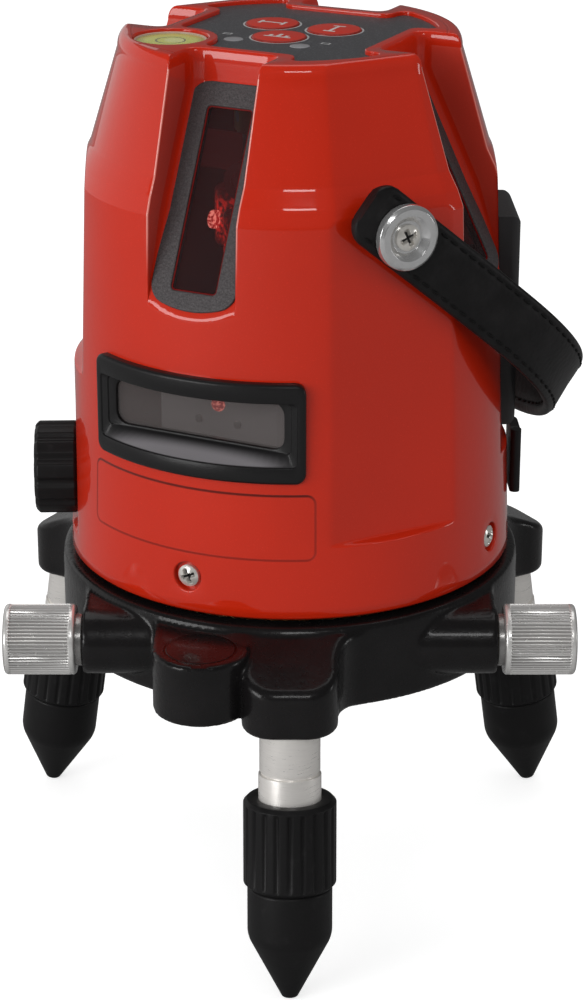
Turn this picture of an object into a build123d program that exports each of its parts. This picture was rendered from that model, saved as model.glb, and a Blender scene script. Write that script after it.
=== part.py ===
from build123d import *

import os
from math import asin, cos, pi, radians, sin, sqrt, tan

# Line laser level: a red head that turns on a black base with three levelling legs.
# Millimetres, +Z up. The origin is the mouth of the tripod thread, on the turning axis, at the base's
# underside. The head looks to -Y. Azimuths run anticlockwise from that front, seen from above.

# Fits
RUN_FIT = 0.05
SEAT_FIT = 0.05
FACE_GAP = 0.1

# Base casting
BASE_TURN = 26.3
BASE_R = 55.6
BASE_H = 19.0
BASE_WALL = 5.0
BASE_FLOOR = 3.0
BASE_EDGE = 0.9
BASE_SKIRT = 1.3
HUB_R = 15.0
HUB_H = 18.0
HUB_STEP_R = 20.0

# Leg lugs on the base
LEG_NAMES = ("front", "right", "left")
LEG_AZIMUTHS = (0, 120, -120)
LUG_W = 22.0
LUG_REACH = 72.3
LUG_ROOT_H = 17.6
LUG_NOSE_H = 10.2
LUG_CORNER = 7.5
LUG_FLARE = 9.5

# Round boss beside the front lug, with a flush plug
BOSS_AZIMUTH = -18.364
BOSS_OUT = 8.673
BOSS_R = 11.0
BOSS_BACK = 17.0
BOSS_H = 16.9
BOSS_Z0 = 2.1
PLUG_AHEAD = 0.8
PLUG_R = 8.0
PLUG_T = 2.0

# Tripod bush and its thread's minor radius
THREAD_R = 6.75
BUSH_R = 12.0
BUSH_L = 12.0

# Legs, measured along the leg axis up from the foot's tip
STAND_H = 66.5
LEG_SPLAY = 9.0
FOOT_OUT = 2.0
TIP_R = 2.2
TIP_SPARE = 0.4
FOOT_CONE_L = 15.8
FOOT_R = 9.85
FOOT_L = 28.0
FOOT_SPIGOT_R = 6.5
FOOT_SPIGOT_L = 2.5
FOOT_BORE_R = 4.4
FOOT_BORE_END = 8.0
COLLAR_R = 10.75
COLLAR_L = 21.0
COLLAR_CHAMFER = 1.2
COLLAR_FLUTES = 22
FLUTE_R = 1.1
FLUTE_DEPTH = 0.55
COLLAR_WEB_LOW = 3.0
COLLAR_WEB_HIGH = 6.0
STUD_R = 4.0
STUD_END = 15.0
POST_LOW_R = 7.25
POST_LOW_END = 36.0
POST_R = 7.0
POST_GROOVE = 55.3
POST_GROOVE_W = 0.8
POST_GROOVE_R = 6.6
POST_TOP = 69.5
POST_SPIGOT_R = 5.0
POST_SPIGOT_TOP = 75.0

# Fine drive: worm, wheel and knobs
MODULE = 1.0
WHEEL_TEETH = 70
WORM_R = 5.0
WORM_TURNS = 6
WORM_Z = 9.5
TOOTH_HALF = 0.5
TOOTH_SLOPE = 20.0
WHEEL_T = 3.0
SHAFT_R = 3.0
SHAFT_SPARE = 3.8
SHAFT_COLLAR_R = 4.5
SHAFT_COLLAR_T = 1.4
WORM_BUSH_R = 5.0
WORM_BUSH_SINK = 1.21
HOUSING_R = 8.0
HOUSING_WEB = 15.0
HOUSING_WEB_RISE = 8.4
HOUSING_PROUD = 2.744
KNOB_R = 8.3
KNOB_NECK_L = 1.6
KNOB_L = 16.8
KNOB_NECK_R = 6.2
KNOB_CHAMFER = 0.8
KNURLS = 60
KNURL_R = 0.4
SET_SCREW_R = 1.5
SET_SCREW_IN = 2.8

# Turntable
SPINDLE_R = 9.0
SPINDLE_BORE = 5.0
SPINDLE_FLANGE_R = 13.0
SPINDLE_FLANGE_T = 1.7
RING_R = 11.4
RING_T = 0.9
RING_GROOVE = 0.8
BEARING_Z = 14.0
CLUTCH_IN = 17.0
CLUTCH_OUT = 29.0
CLUTCH_BOSS_Z = 14.0
CLUTCH_T = 1.0
PLATE_Z = 20.8
PLATE_T = 3.5
PLATE_GAP = 0.5
PLATE_RIM_T = 3.8
PLATE_RIM_Z = 33.4

# Head shell, radius and height of each corner of its outline
SHELL_R = 53.6
SHELL_Z = 20.3
WAIST_R = 50.03
WAIST_Z = 114.2
SHOULDER_R = 47.2
SHOULDER_Z = 117.8
CROWN_R = 39.4
CROWN_Z = 143.3
TOP_R = 38.0
TOP_Z = 145.5
SHELL_WALL = 2.5
TOP_WALL = 2.4

# Four window slots
SLOT_NAMES = ("front", "right", "back", "left")
SLOT_W = 21.8
SLOT_BACK = 27.5
SLOT_CORNER = 3.5
SLOT_TOP_Z = 138.5
SLOT_FOOT_R = 49.5
SLOT_FOOT_Z = 94.1
SLOT_EDGE = 0.8
BEZEL_T = 2.5
BEZEL_CORNER = 4.0
SLOT_FLOOR_T = 2.0
WINDOW_W = 10.4
WINDOW_START = 6.6
WINDOW_END = 47.6
WINDOW_CORNER = 1.6
GLASS_LAP = 1.6
GLASS_T = 1.5

# Flats on the four lobes
FLAT_AZIMUTHS = (54.6, 118, -125.4, -62)
FLAT_BOTTOMS = (38.5, 47.0, 38.5, 67.8)
FLAT_PROUD = 0.2
FLAT_SINK = 2.608
FLAT_LOW_Z = 38.5

# Horizontal line window
LINE_Z0 = 53.4
LINE_Z1 = 77.1
LINE_PROUD = 1.3
LINE_SPAN = 30.3
LINE_CORNER = 2.5
LINE_PLUG_W = 53.0
LINE_PLUG_Z0 = 55.3
LINE_PLUG_Z1 = 75.2
LINE_RECESS_W = 52.0
LINE_RECESS_Z0 = 57.7
LINE_RECESS_Z1 = 72.4
LINE_SINK = 7.1
LINE_FRAME_T = 2.0
LINE_OPEN_W = 43.0
LINE_OPEN_Z0 = 60.8
LINE_OPEN_CORNER = 3.0
LINE_FLARE = 12.0

# Label recess under it
LABEL_Z0 = 34.9
LABEL_Z1 = 50.4
LABEL_W = 57.0
LABEL_CORNER = 2.0
LABEL_DEPTH = 0.35

# Shell screws
SCREW_Z = 28.8
SCREW_R = 1.4
SCREW_HEAD_R = 2.6
SCREW_HEAD_T = 1.8
SCREW_POCKET_R = 3.5
SCREW_POCKET = 1.5
SCREW_L = 6.0
CROSS_W = 0.8
CROSS_L = 3.2
CROSS_DEPTH = 0.9

# Key overlay, keys and lamps on top
OVERLAY_R = 34.3
OVERLAY_T = 0.6
OVERLAY_SINK = 1.0
OVERLAY_RIM = 3.0
OVERLAY_CORNER = 3.0
OVERLAY_TIP = 2.0
KEY_NAMES = ("horizontal", "vertical", "receiver")
KEY_PLACES = ((-8.0, 7.0), (8.0, 7.0), (0.0, -5.6))
KEY_R = 6.35
KEY_T = 0.55
KEY_RISE = 0.35
KEY_STEM_R = 3.5
KEY_STEM_L = 1.05
KEY_TRAVEL = 0.4
LAMP_PLACES = ((-8.4, -12.0), (8.4, -12.0))
LAMP_R = 2.3

# Round bubble vial
VIAL_AZIMUTH = -46
VIAL_REACH = 28.5
VIAL_R = 8.6
VIAL_WALL = 0.8
VIAL_RIM = 2.2
VIAL_Z0 = 136.0
VIAL_FLOOR = 2.0
VIAL_TOP = 144.6
LENS_T = 1.6
LENS_CROWN = 0.4

# Lock knob
LOCK_AZIMUTH = -62
LOCK_Z = 38.3
LOCK_R = 11.25
LOCK_FLANGE_T = 1.4
LOCK_T = 10.3
LOCK_FLUTES = 12
LOCK_FLUTE_R = 2.4
LOCK_FLUTE_DEPTH = 1.1
LOCK_CHAMFER = 1.0
LOCK_FLAT_SINK = 1.4
LOCK_FLAT_Z0 = 26.5
LOCK_FLAT_Z1 = 58.5
LOCK_FLAT_TOP = 67.6
LOCK_SHAFT_R = 3.9
LOCK_SHAFT_END = 30.0
LOCK_FLANGE_R = 4.75
LOCK_CAM_R = 5.5
LOCK_CAM_OFFSET = 2.5
LOCK_CAM_T = 3.0

# Carrying strap: a stiff leather band bent round the back of the head
STRAP_AZIMUTH = 54.6
STRAP_Z = 109.4
STRAP_DROP = 39.5
STRAP_W = 14.8
STRAP_T = 3.0
PIVOT_FLANGE_T = 1.836
STRAP_END = 12.0
STRAP_END_CUT = 2.2
STRAP_LEG = 39.3
STRAP_BEND_R = 40.0
STRAP_BEND = 42.0
PIVOT_R = 3.5
PIVOT_FLANGE_R = 6.5
WASHER_R = 7.4
WASHER_T = 2.6
WASHER_DISH_R = 4.6
WASHER_DISH = 1.5
PIVOT_SCREW_R = 1.5
PIVOT_HEAD_R = 3.3
PIVOT_SCREW_END = 43.0
CROWN_EDGE = 0.3

# Battery bay and charging socket
BAY_AZIMUTH = 118
DOOR_W = 24.0
DOOR_Z0 = 52.4
DOOR_Z1 = 103.7
DOOR_T = 3.75
DOOR_GAP = 0.2
DOOR_ROUND = 2.2
BAY_OPEN_W = 18.0
BAY_OPEN_Z0 = 54.5
BAY_OPEN_Z1 = 90.0
CELL_R = 9.2
CELL_L = 50.0
CELL_Z = 39.0
CELL_GAP = 0.453
TRAY_WALL = 1.5
SOCKET_Z = 40.6
SOCKET_R = 4.0
SOCKET_BORE = 2.75
SOCKET_GAP = 1.1
COVER_W = 12.0
COVER_H = 16.0
COVER_GAP = 0.302
COVER_T = 2.5
COVER_CORNER = 2.5
COVER_SIDE = 1

# Pendulum, its gimbal and the laser modules
GIMBAL_Z = 126.0
GIMBAL_AZIMUTH = 45
GIMBAL_IN = 10.0
GIMBAL_OUT = 13.0
GIMBAL_H = 7.0
GIMBAL_PIN_R = 1.5
HANGER_GAP = 1.4
HANGER_T = 4.0
HANGER_W = 8.0
HANGER_COLUMN_R = 3.0
HANGER_COLUMN_REACH = 31.0
BRIDGE_Z = 131.0
BRIDGE_T = 4.5
PENDULUM_HEAD_R = 6.5
PENDULUM_STEM_R = 5.0
PENDULUM_BLOCK_W = 18.0
PENDULUM_BLOCK_H = 13.0
MODULE_Z = 115.0
MODULE_R = 4.5
MODULE_END = 25.0
LINE_MODULE_Z = 66.0
LINE_MODULE_R = 5.0
LINE_MODULE_END = 22.0
BOB_R = 16.0
BOB_Z = 40.0
BOB_T = 7.0
LENS_R = 2.6
LENS_STEP = 0.8
MAGNET_IN = 13.3
MAGNET_OUT = 21.0
MAGNET_TOP = 37.6

# Circuit board under the keys
BOARD_R = 21.5
BOARD_T = 1.4
SWITCH_R = 2.6

# Sizes that follow from those above
SLOT_AZIMUTHS = (0, 90, 180, -90)
WHEEL_R = MODULE * WHEEL_TEETH / 2
WORM_PITCH = pi * MODULE
WORM_L = WORM_TURNS * WORM_PITCH
WORM_Y = -(WHEEL_R + WORM_R)
ADDENDUM = MODULE
DEDENDUM = 1.25 * MODULE
WHEEL_Z = WORM_Z - WHEEL_T / 2
FOOT_TOP = FOOT_L - FACE_GAP
COLLAR_TOP = FOOT_L + COLLAR_L
OVERLAY_TOP = TOP_Z - OVERLAY_SINK
OVERLAY_Z = OVERLAY_TOP - OVERLAY_T
CEILING_Z = OVERLAY_Z - TOP_WALL
KEY_TOP = OVERLAY_TOP + KEY_RISE
KEY_STEM_Z = KEY_TOP - KEY_T - KEY_STEM_L
BOARD_Z = CEILING_Z - FACE_GAP - BOARD_T
PLATE_TOP = PLATE_Z + PLATE_T
BASE_POCKET_R = BASE_R - BASE_WALL
BOSS_X = (BASE_R + BOSS_OUT) * sin(radians(BOSS_AZIMUTH))
BOSS_Y = -(BASE_R + BOSS_OUT) * cos(radians(BOSS_AZIMUTH))
FOOT_SPREAD = LUG_REACH + FOOT_OUT
WORM_BUSH_START = sqrt(BASE_POCKET_R**2 - WORM_Y**2) + WORM_BUSH_SINK
HOUSING_END = sqrt(BASE_R**2 - (WORM_Y + KNOB_R) ** 2) + HOUSING_PROUD
KNOB_START = HOUSING_END + KNOB_NECK_L
SHAFT_END = KNOB_START + KNOB_L - SHAFT_SPARE
SET_SCREW_X = KNOB_START + SET_SCREW_IN
SLOPE = Vector(SLOT_FOOT_R - SLOT_BACK, 0, SLOT_FOOT_Z - SLOT_TOP_Z).normalized()
OVER = 30.0


def heading(azimuth):
    """Level unit vector at an azimuth of the head."""
    turn = radians(azimuth - 90)
    return Vector(cos(turn), sin(turn), 0)


def side_plane(azimuth):
    """Upright plane through the turning axis: x runs outwards, y runs up."""
    return Plane(origin=(0, 0, 0), x_dir=heading(azimuth), z_dir=heading(azimuth - 90))


def face_plane(azimuth, reach, height=0.0):
    """Upright plane that faces outwards: x runs anticlockwise, y runs up."""
    origin = heading(azimuth) * reach + Vector(0, 0, height)
    return Plane(origin=origin, x_dir=heading(azimuth + 90), z_dir=heading(azimuth))


def slope_plane(azimuth, depth=0.0):
    """Plane of a slot's bezel, sunk by depth: x runs across, y runs down the slope from its top."""
    out = heading(azimuth)
    down = out * SLOPE.X + Vector(0, 0, SLOPE.Z)
    normal = out * -SLOPE.Z + Vector(0, 0, SLOPE.X)
    top = out * SLOT_BACK + Vector(0, 0, SLOT_TOP_Z)
    return Plane(origin=top - normal * depth, x_dir=down.cross(normal), z_dir=normal)


def slope_point(run, depth=0.0):
    """Radius and height of a point on a slot's slope, run down it and sunk by depth."""
    return (
        SLOT_BACK + SLOPE.X * run + SLOPE.Z * depth,
        SLOT_TOP_Z + SLOPE.Z * run - SLOPE.X * depth,
    )


def shell_radius(z):
    """Outer radius of the head's lower cone at a height."""
    return SHELL_R + (WAIST_R - SHELL_R) * (z - SHELL_Z) / (WAIST_Z - SHELL_Z)


def shell_reach(z, half):
    """Largest outer radius of the lower cone over a piece that spans half above and below a height."""
    return max(shell_radius(z - half), shell_radius(z + half))


PLATE_R = shell_radius(PLATE_RIM_Z) - SHELL_WALL - PLATE_GAP
FLAT_LOW_R = shell_radius(FLAT_LOW_Z) - FLAT_SINK
FLAT_HIGH_R = SHOULDER_R + FLAT_PROUD


def flat_radius(z):
    """Distance of a lobe's flat from the axis at a height."""
    return FLAT_LOW_R + (FLAT_HIGH_R - FLAT_LOW_R) * (z - FLAT_LOW_Z) / (SHOULDER_Z - FLAT_LOW_Z)


def flat_reach(z, half):
    """Largest distance of a flat over a piece that spans half above and below a height."""
    return max(flat_radius(z - half), flat_radius(z + half))


LINE_R = shell_reach((LINE_Z0 + LINE_Z1) / 2, (LINE_Z1 - LINE_Z0) / 2) + LINE_PROUD
LINE_FACE = LINE_R - LINE_SINK
LINE_BACK = LINE_FACE - LINE_FRAME_T
LOCK_FLAT_R = shell_radius(LOCK_Z) - LOCK_FLAT_SINK
LOCK_FLANGE_END = LOCK_FLAT_R - SHELL_WALL - FACE_GAP
LOCK_START = LOCK_FLAT_R + FACE_GAP
LOCK_END = LOCK_START + LOCK_T
PIVOT_IN = flat_reach(STRAP_Z, PIVOT_FLANGE_R) + SEAT_FIT
STRAP_REACH = PIVOT_IN + PIVOT_FLANGE_T + FACE_GAP + STRAP_T / 2
DOOR_FACE = flat_reach((DOOR_Z0 + DOOR_Z1) / 2, (DOOR_Z1 - DOOR_Z0) / 2) + DOOR_T
CELL_REACH = flat_radius(CELL_Z + CELL_L) - SHELL_WALL - TRAY_WALL - CELL_R - CELL_GAP
SOCKET_START = CELL_REACH + CELL_R + TRAY_WALL + SOCKET_GAP
COVER_BACK = shell_reach(SOCKET_Z, COVER_H / 2) + COVER_GAP


def worm_plane(x):
    """Plane square to the worm's axis: x points at the wheel."""
    origin = BASE.from_local_coords((x, WORM_Y, WORM_Z))
    return Plane(origin=origin, x_dir=BASE.y_dir, z_dir=BASE.x_dir)


def leg_up(azimuth):
    """Unit vector up a leg."""
    lean = radians(LEG_SPLAY)
    return heading(BASE_TURN + azimuth) * -sin(lean) + Vector(0, 0, cos(lean))


def leg_tip(azimuth):
    """Point where a leg's axis meets the floor."""
    return heading(BASE_TURN + azimuth) * FOOT_SPREAD + Vector(0, 0, -STAND_H)


def leg_section(azimuth):
    """Plane through a leg's axis: x runs outwards, y runs up the leg from its tip."""
    up = leg_up(azimuth)
    across = heading(BASE_TURN + azimuth - 90)
    return Plane(origin=leg_tip(azimuth), x_dir=up.cross(across), z_dir=across)


def leg_level(azimuth, height):
    """Plane square to a leg, at a height along it."""
    up = leg_up(azimuth)
    return Plane(origin=leg_tip(azimuth) + up * height, x_dir=heading(BASE_TURN + azimuth - 90), z_dir=up)


def leg_axis(azimuth):
    """Axis of a leg."""
    return Axis(origin=leg_tip(azimuth), direction=leg_up(azimuth))


def dome(base, rim_r, rise, axis_h=0.0):
    """Three points of a ball-shaped crown's outline, from its rim to its top on the axis."""
    ball = (rim_r**2 + rise**2) / (2 * rise)
    half = asin(rim_r / ball) / 2
    return (
        (base, axis_h + rim_r),
        (base + rise - ball * (1 - cos(half)), axis_h + ball * sin(half)),
        (base + rise, axis_h),
    )


def save(builder, name):
    """Label a finished piece and write it."""
    builder.part.label = name
    export_step(builder.part, f"parts/{name}.step")


os.makedirs("parts", exist_ok=True)
BASE = Plane(origin=(0, 0, 0), x_dir=heading(BASE_TURN + 90), z_dir=(0, 0, 1))
WORM_SECTION = Plane(origin=worm_plane(0).origin, x_dir=BASE.x_dir, z_dir=-BASE.y_dir)
WORM_AXIS = Axis(origin=worm_plane(0).origin, direction=BASE.x_dir)

# Base casting: ring, lugs, worm housings, boss and hub
with BuildPart() as base_casting:
    lug_root = BASE_POCKET_R - 2 * LUG_CORNER
    lug_length = LUG_REACH - lug_root
    with BuildSketch(BASE.offset(-BASE_SKIRT)) as lug_plan:
        Circle(BASE_R)
        for azimuth in LEG_AZIMUTHS:
            turn = radians(azimuth - 90)
            middle = lug_root + lug_length / 2
            with Locations(Location((middle * cos(turn), middle * sin(turn), 0), (0, 0, azimuth - 90))):
                RectangleRounded(lug_length, LUG_W, LUG_CORNER)
        roots = lug_plan.vertices().filter_by(lambda v: abs(sqrt(v.X**2 + v.Y**2) - BASE_R) < FACE_GAP)
        fillet(roots, LUG_FLARE)
    extrude(amount=LUG_ROOT_H + BASE_SKIRT)
    for azimuth in LEG_AZIMUTHS:
        with BuildSketch(side_plane(BASE_TURN + azimuth)):
            fall = (LUG_ROOT_H - LUG_NOSE_H) / (LUG_REACH - BASE_R)
            with BuildLine():
                Polyline(
                    (BASE_R, LUG_ROOT_H),
                    (LUG_REACH + OVER, LUG_NOSE_H - fall * OVER),
                    (LUG_REACH + OVER, BASE_H),
                    (BASE_R, BASE_H),
                    close=True,
                )
            make_face()
        extrude(amount=LUG_W * 1.5, both=True, mode=Mode.SUBTRACT)
    with BuildSketch(worm_plane(0)):
        Circle(HOUSING_R)
        with BuildLine():
            Polyline(
                (0, -HOUSING_R),
                (HOUSING_WEB, -HOUSING_R),
                (HOUSING_WEB, HOUSING_WEB_RISE),
                (0, HOUSING_R),
                close=True,
            )
        make_face()
    extrude(amount=HOUSING_END, both=True)
    with BuildSketch(BASE.offset(BOSS_Z0)):
        with Locations((BOSS_X, BOSS_Y)):
            Circle(BOSS_R)
        with Locations((BOSS_X, BOSS_Y + BOSS_BACK / 2)):
            Rectangle(2 * BOSS_R, BOSS_BACK)
    extrude(amount=BOSS_H - BOSS_Z0)
    with BuildSketch(BASE):
        Circle(BASE_R)
    extrude(amount=BASE_H)
    chamfer(base_casting.edges().group_by(Axis.Z)[-1], BASE_EDGE)
    with BuildSketch(BASE.offset(BASE_FLOOR)):
        Circle(BASE_POCKET_R)
    extrude(amount=BASE_H, mode=Mode.SUBTRACT)
    with BuildSketch(BASE):
        Circle(HUB_STEP_R)
    extrude(amount=WHEEL_Z - FACE_GAP)
    with BuildSketch(BASE):
        Circle(HUB_R)
    extrude(amount=HUB_H)
    with BuildSketch(BASE.offset(-BASE_SKIRT)):
        Circle(BUSH_R + SEAT_FIT)
    extrude(amount=BEARING_Z + BASE_SKIRT, mode=Mode.SUBTRACT)
    with BuildSketch(BASE):
        Circle(SPINDLE_R + RUN_FIT)
    extrude(amount=HUB_H, mode=Mode.SUBTRACT)
    with BuildSketch(worm_plane(0)):
        Circle(WORM_BUSH_R + SEAT_FIT)
    extrude(amount=HOUSING_END, both=True, mode=Mode.SUBTRACT)
    with BuildSketch(BASE.offset(BOSS_H - PLUG_T)):
        with Locations((BOSS_X, BOSS_Y - PLUG_AHEAD)):
            Circle(PLUG_R + SEAT_FIT)
    extrude(amount=PLUG_T, mode=Mode.SUBTRACT)
    for azimuth in LEG_AZIMUTHS:
        with BuildSketch(leg_section(azimuth)):
            with BuildLine():
                Polyline(
                    (0, POST_GROOVE),
                    (POST_R + SEAT_FIT, POST_GROOVE),
                    (POST_R + SEAT_FIT, POST_TOP),
                    (POST_SPIGOT_R + SEAT_FIT, POST_TOP),
                    (POST_SPIGOT_R + SEAT_FIT, POST_SPIGOT_TOP),
                    (0, POST_SPIGOT_TOP),
                    close=True,
                )
            make_face()
        revolve(axis=leg_axis(azimuth), mode=Mode.SUBTRACT)
save(base_casting, "base_casting")

with BuildPart() as boss_plug:
    with BuildSketch(BASE.offset(BOSS_H - PLUG_T)):
        with Locations((BOSS_X, BOSS_Y - PLUG_AHEAD)):
            Circle(PLUG_R)
    extrude(amount=PLUG_T)
save(boss_plug, "boss_plug")

with BuildPart() as tripod_bush:
    with BuildSketch(BASE):
        Circle(BUSH_R)
        Circle(THREAD_R, mode=Mode.SUBTRACT)
    extrude(amount=BUSH_L)
save(tripod_bush, "tripod_bush")

# Legs: post, fluted collar and pointed foot, all round one leaning axis
for name, azimuth in zip(LEG_NAMES, LEG_AZIMUTHS):
    with BuildPart() as leg_post:
        with BuildSketch(leg_section(azimuth)):
            with BuildLine():
                Polyline(
                    (0, STUD_END),
                    (STUD_R, STUD_END),
                    (STUD_R, POST_LOW_END),
                    (POST_LOW_R, POST_LOW_END),
                    (POST_LOW_R, POST_GROOVE - POST_GROOVE_W / 2),
                    (POST_GROOVE_R, POST_GROOVE - POST_GROOVE_W / 2),
                    (POST_GROOVE_R, POST_GROOVE + POST_GROOVE_W / 2),
                    (POST_R, POST_GROOVE + POST_GROOVE_W / 2),
                    (POST_R, POST_TOP),
                    (POST_SPIGOT_R, POST_TOP),
                    (POST_SPIGOT_R, POST_SPIGOT_TOP),
                    (0, POST_SPIGOT_TOP),
                    close=True,
                )
            make_face()
        revolve(axis=leg_axis(azimuth))
    save(leg_post, f"leg_post_{name}")

    with BuildPart() as levelling_collar:
        with BuildSketch(leg_level(azimuth, FOOT_L)):
            Circle(COLLAR_R)
            with PolarLocations(COLLAR_R + FLUTE_R - FLUTE_DEPTH, COLLAR_FLUTES):
                Circle(FLUTE_R, mode=Mode.SUBTRACT)
        extrude(amount=COLLAR_L)
        with BuildSketch(leg_section(azimuth)):
            with BuildLine():
                Polyline(
                    (FOOT_SPIGOT_R + RUN_FIT, FOOT_L),
                    (COLLAR_R - COLLAR_CHAMFER, FOOT_L),
                    (COLLAR_R, FOOT_L + COLLAR_CHAMFER),
                    (COLLAR_R, COLLAR_TOP - COLLAR_CHAMFER),
                    (COLLAR_R - COLLAR_CHAMFER, COLLAR_TOP),
                    (POST_LOW_R + RUN_FIT, COLLAR_TOP),
                    (POST_LOW_R + RUN_FIT, FOOT_L + COLLAR_WEB_HIGH),
                    (STUD_R + RUN_FIT, FOOT_L + COLLAR_WEB_HIGH),
                    (STUD_R + RUN_FIT, FOOT_L + COLLAR_WEB_LOW),
                    (FOOT_SPIGOT_R + RUN_FIT, FOOT_L + COLLAR_WEB_LOW),
                    close=True,
                )
            make_face()
        revolve(axis=leg_axis(azimuth), mode=Mode.INTERSECT)
    save(levelling_collar, f"levelling_collar_{name}")

    with BuildPart() as foot_tip:
        with BuildSketch(leg_section(azimuth)):
            with BuildLine():
                Polyline(
                    (0, -TIP_SPARE),
                    (TIP_R, -TIP_SPARE),
                    (FOOT_R, FOOT_CONE_L),
                    (FOOT_R, FOOT_TOP),
                    (FOOT_SPIGOT_R, FOOT_TOP),
                    (FOOT_SPIGOT_R, FOOT_L + FOOT_SPIGOT_L),
                    (FOOT_BORE_R, FOOT_L + FOOT_SPIGOT_L),
                    (FOOT_BORE_R, FOOT_BORE_END),
                    (0, FOOT_BORE_END),
                    close=True,
                )
            make_face()
        revolve(axis=leg_axis(azimuth))
        with BuildSketch(Plane.XY.offset(-STAND_H)):
            with Locations((leg_tip(azimuth).X, leg_tip(azimuth).Y)):
                Circle(FOOT_R)
        extrude(amount=-OVER, mode=Mode.SUBTRACT)
    save(foot_tip, f"foot_tip_{name}")

# Fine drive: one worm shaft with a knob at each end, and the wheel that it turns
with BuildPart() as worm_thread:
    half_root = TOOTH_HALF + DEDENDUM * tan(radians(TOOTH_SLOPE))
    half_tip = TOOTH_HALF - ADDENDUM * tan(radians(TOOTH_SLOPE))
    root_r = WORM_R - DEDENDUM
    with BuildLine() as thread_path:
        Helix(WORM_PITCH, WORM_L, root_r, center=(0, 0, -WORM_L / 2))
    with BuildSketch(Plane.XZ.offset(0)) as thread_section:
        with BuildLine():
            Polyline(
                (root_r - 2 * FACE_GAP, -WORM_L / 2 - half_root),
                (root_r, -WORM_L / 2 - half_root),
                (WORM_R + ADDENDUM, -WORM_L / 2 - half_tip),
                (WORM_R + ADDENDUM, -WORM_L / 2 + half_tip),
                (root_r, -WORM_L / 2 + half_root),
                (root_r - 2 * FACE_GAP, -WORM_L / 2 + half_root),
                close=True,
            )
        make_face()
    sweep(path=thread_path.line, is_frenet=True)

with BuildPart() as worm_shaft:
    with BuildSketch(worm_plane(0)):
        Circle(SHAFT_R)
    extrude(amount=SHAFT_END, both=True)
    with BuildSketch(worm_plane(0)):
        Circle(WORM_R - DEDENDUM)
    extrude(amount=WORM_L / 2 + WORM_PITCH, both=True)
    for side in (-1, 1):
        with BuildSketch(worm_plane(side * (WORM_BUSH_START - FACE_GAP))):
            Circle(SHAFT_COLLAR_R)
        extrude(amount=-side * SHAFT_COLLAR_T)
    add(worm_thread.part.moved(worm_plane(0).location))
save(worm_shaft, "worm_shaft")

for name, side in (("left", -1), ("right", 1)):
    with BuildPart() as worm_bush:
        with BuildSketch(worm_plane(side * WORM_BUSH_START)):
            Circle(WORM_BUSH_R)
            Circle(SHAFT_R + RUN_FIT, mode=Mode.SUBTRACT)
        extrude(amount=side * (HOUSING_END - WORM_BUSH_START))
    save(worm_bush, f"worm_bush_{name}")

    with BuildPart() as fine_knob:
        with BuildSketch(worm_plane(side * KNOB_START)):
            Circle(KNOB_R)
            with PolarLocations(KNOB_R + KNURL_R / 2, KNURLS):
                Circle(KNURL_R, mode=Mode.SUBTRACT)
        extrude(amount=side * KNOB_L)
        with BuildSketch(WORM_SECTION):
            with BuildLine():
                Polyline(
                    (side * KNOB_START, 0),
                    (side * KNOB_START, KNOB_R - KNOB_CHAMFER),
                    (side * (KNOB_START + KNOB_CHAMFER), KNOB_R),
                    (side * (KNOB_START + KNOB_L - KNOB_CHAMFER), KNOB_R),
                    (side * (KNOB_START + KNOB_L), KNOB_R - KNOB_CHAMFER),
                    (side * (KNOB_START + KNOB_L), 0),
                    close=True,
                )
            make_face()
        revolve(axis=WORM_AXIS, mode=Mode.INTERSECT)
        with BuildSketch(worm_plane(side * (HOUSING_END + FACE_GAP))):
            Circle(KNOB_NECK_R)
        extrude(amount=side * (KNOB_START - HOUSING_END))
        with BuildSketch(worm_plane(side * HOUSING_END)):
            Circle(SHAFT_R + SEAT_FIT)
        extrude(amount=side * (SHAFT_END + FACE_GAP - HOUSING_END), mode=Mode.SUBTRACT)
        with BuildSketch(BASE.offset(WORM_Z)):
            with Locations((side * SET_SCREW_X, WORM_Y)):
                Circle(SET_SCREW_R)
        extrude(amount=-KNOB_R - OVER, mode=Mode.SUBTRACT)
    save(fine_knob, f"fine_knob_{name}")

with BuildPart() as knob_set_screws:
    with BuildSketch(BASE.offset(WORM_Z - SHAFT_R - FACE_GAP)):
        with Locations((-SET_SCREW_X, WORM_Y), (SET_SCREW_X, WORM_Y)):
            Circle(SET_SCREW_R - SEAT_FIT)
    extrude(amount=-(KNOB_R - SHAFT_R - KNOB_CHAMFER))
save(knob_set_screws, "knob_set_screws")

with BuildPart() as worm_wheel:
    tooth_root = WHEEL_R - DEDENDUM
    tooth_tip = WHEEL_R + ADDENDUM
    with BuildSketch(BASE.offset(WHEEL_Z)):
        Circle(tooth_root)
        with PolarLocations(0, WHEEL_TEETH, start_angle=-90 + 180 / WHEEL_TEETH):
            Polygon(
                (tooth_root - 2 * FACE_GAP, -half_root),
                (tooth_tip, -half_tip),
                (tooth_tip, half_tip),
                (tooth_root - 2 * FACE_GAP, half_root),
                align=None,
            )
        Circle(HUB_R + RUN_FIT, mode=Mode.SUBTRACT)
    extrude(amount=WHEEL_T)
save(worm_wheel, "worm_wheel")

# Turntable: sprung clutch, plate and hollow spindle, held under the hub by a ring
with BuildPart() as clutch_spring:
    clutch_z = WHEEL_Z + WHEEL_T + FACE_GAP
    with BuildSketch(side_plane(0)):
        with BuildLine():
            Polyline(
                (CLUTCH_IN, clutch_z),
                (CLUTCH_IN + CLUTCH_T, clutch_z),
                (CLUTCH_OUT, CLUTCH_BOSS_Z - CLUTCH_T),
                (CLUTCH_OUT, CLUTCH_BOSS_Z),
                (CLUTCH_OUT - CLUTCH_T, CLUTCH_BOSS_Z),
                (CLUTCH_IN, clutch_z + CLUTCH_T),
                close=True,
            )
        make_face()
    revolve(axis=Axis.Z)
save(clutch_spring, "clutch_spring")

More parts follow.
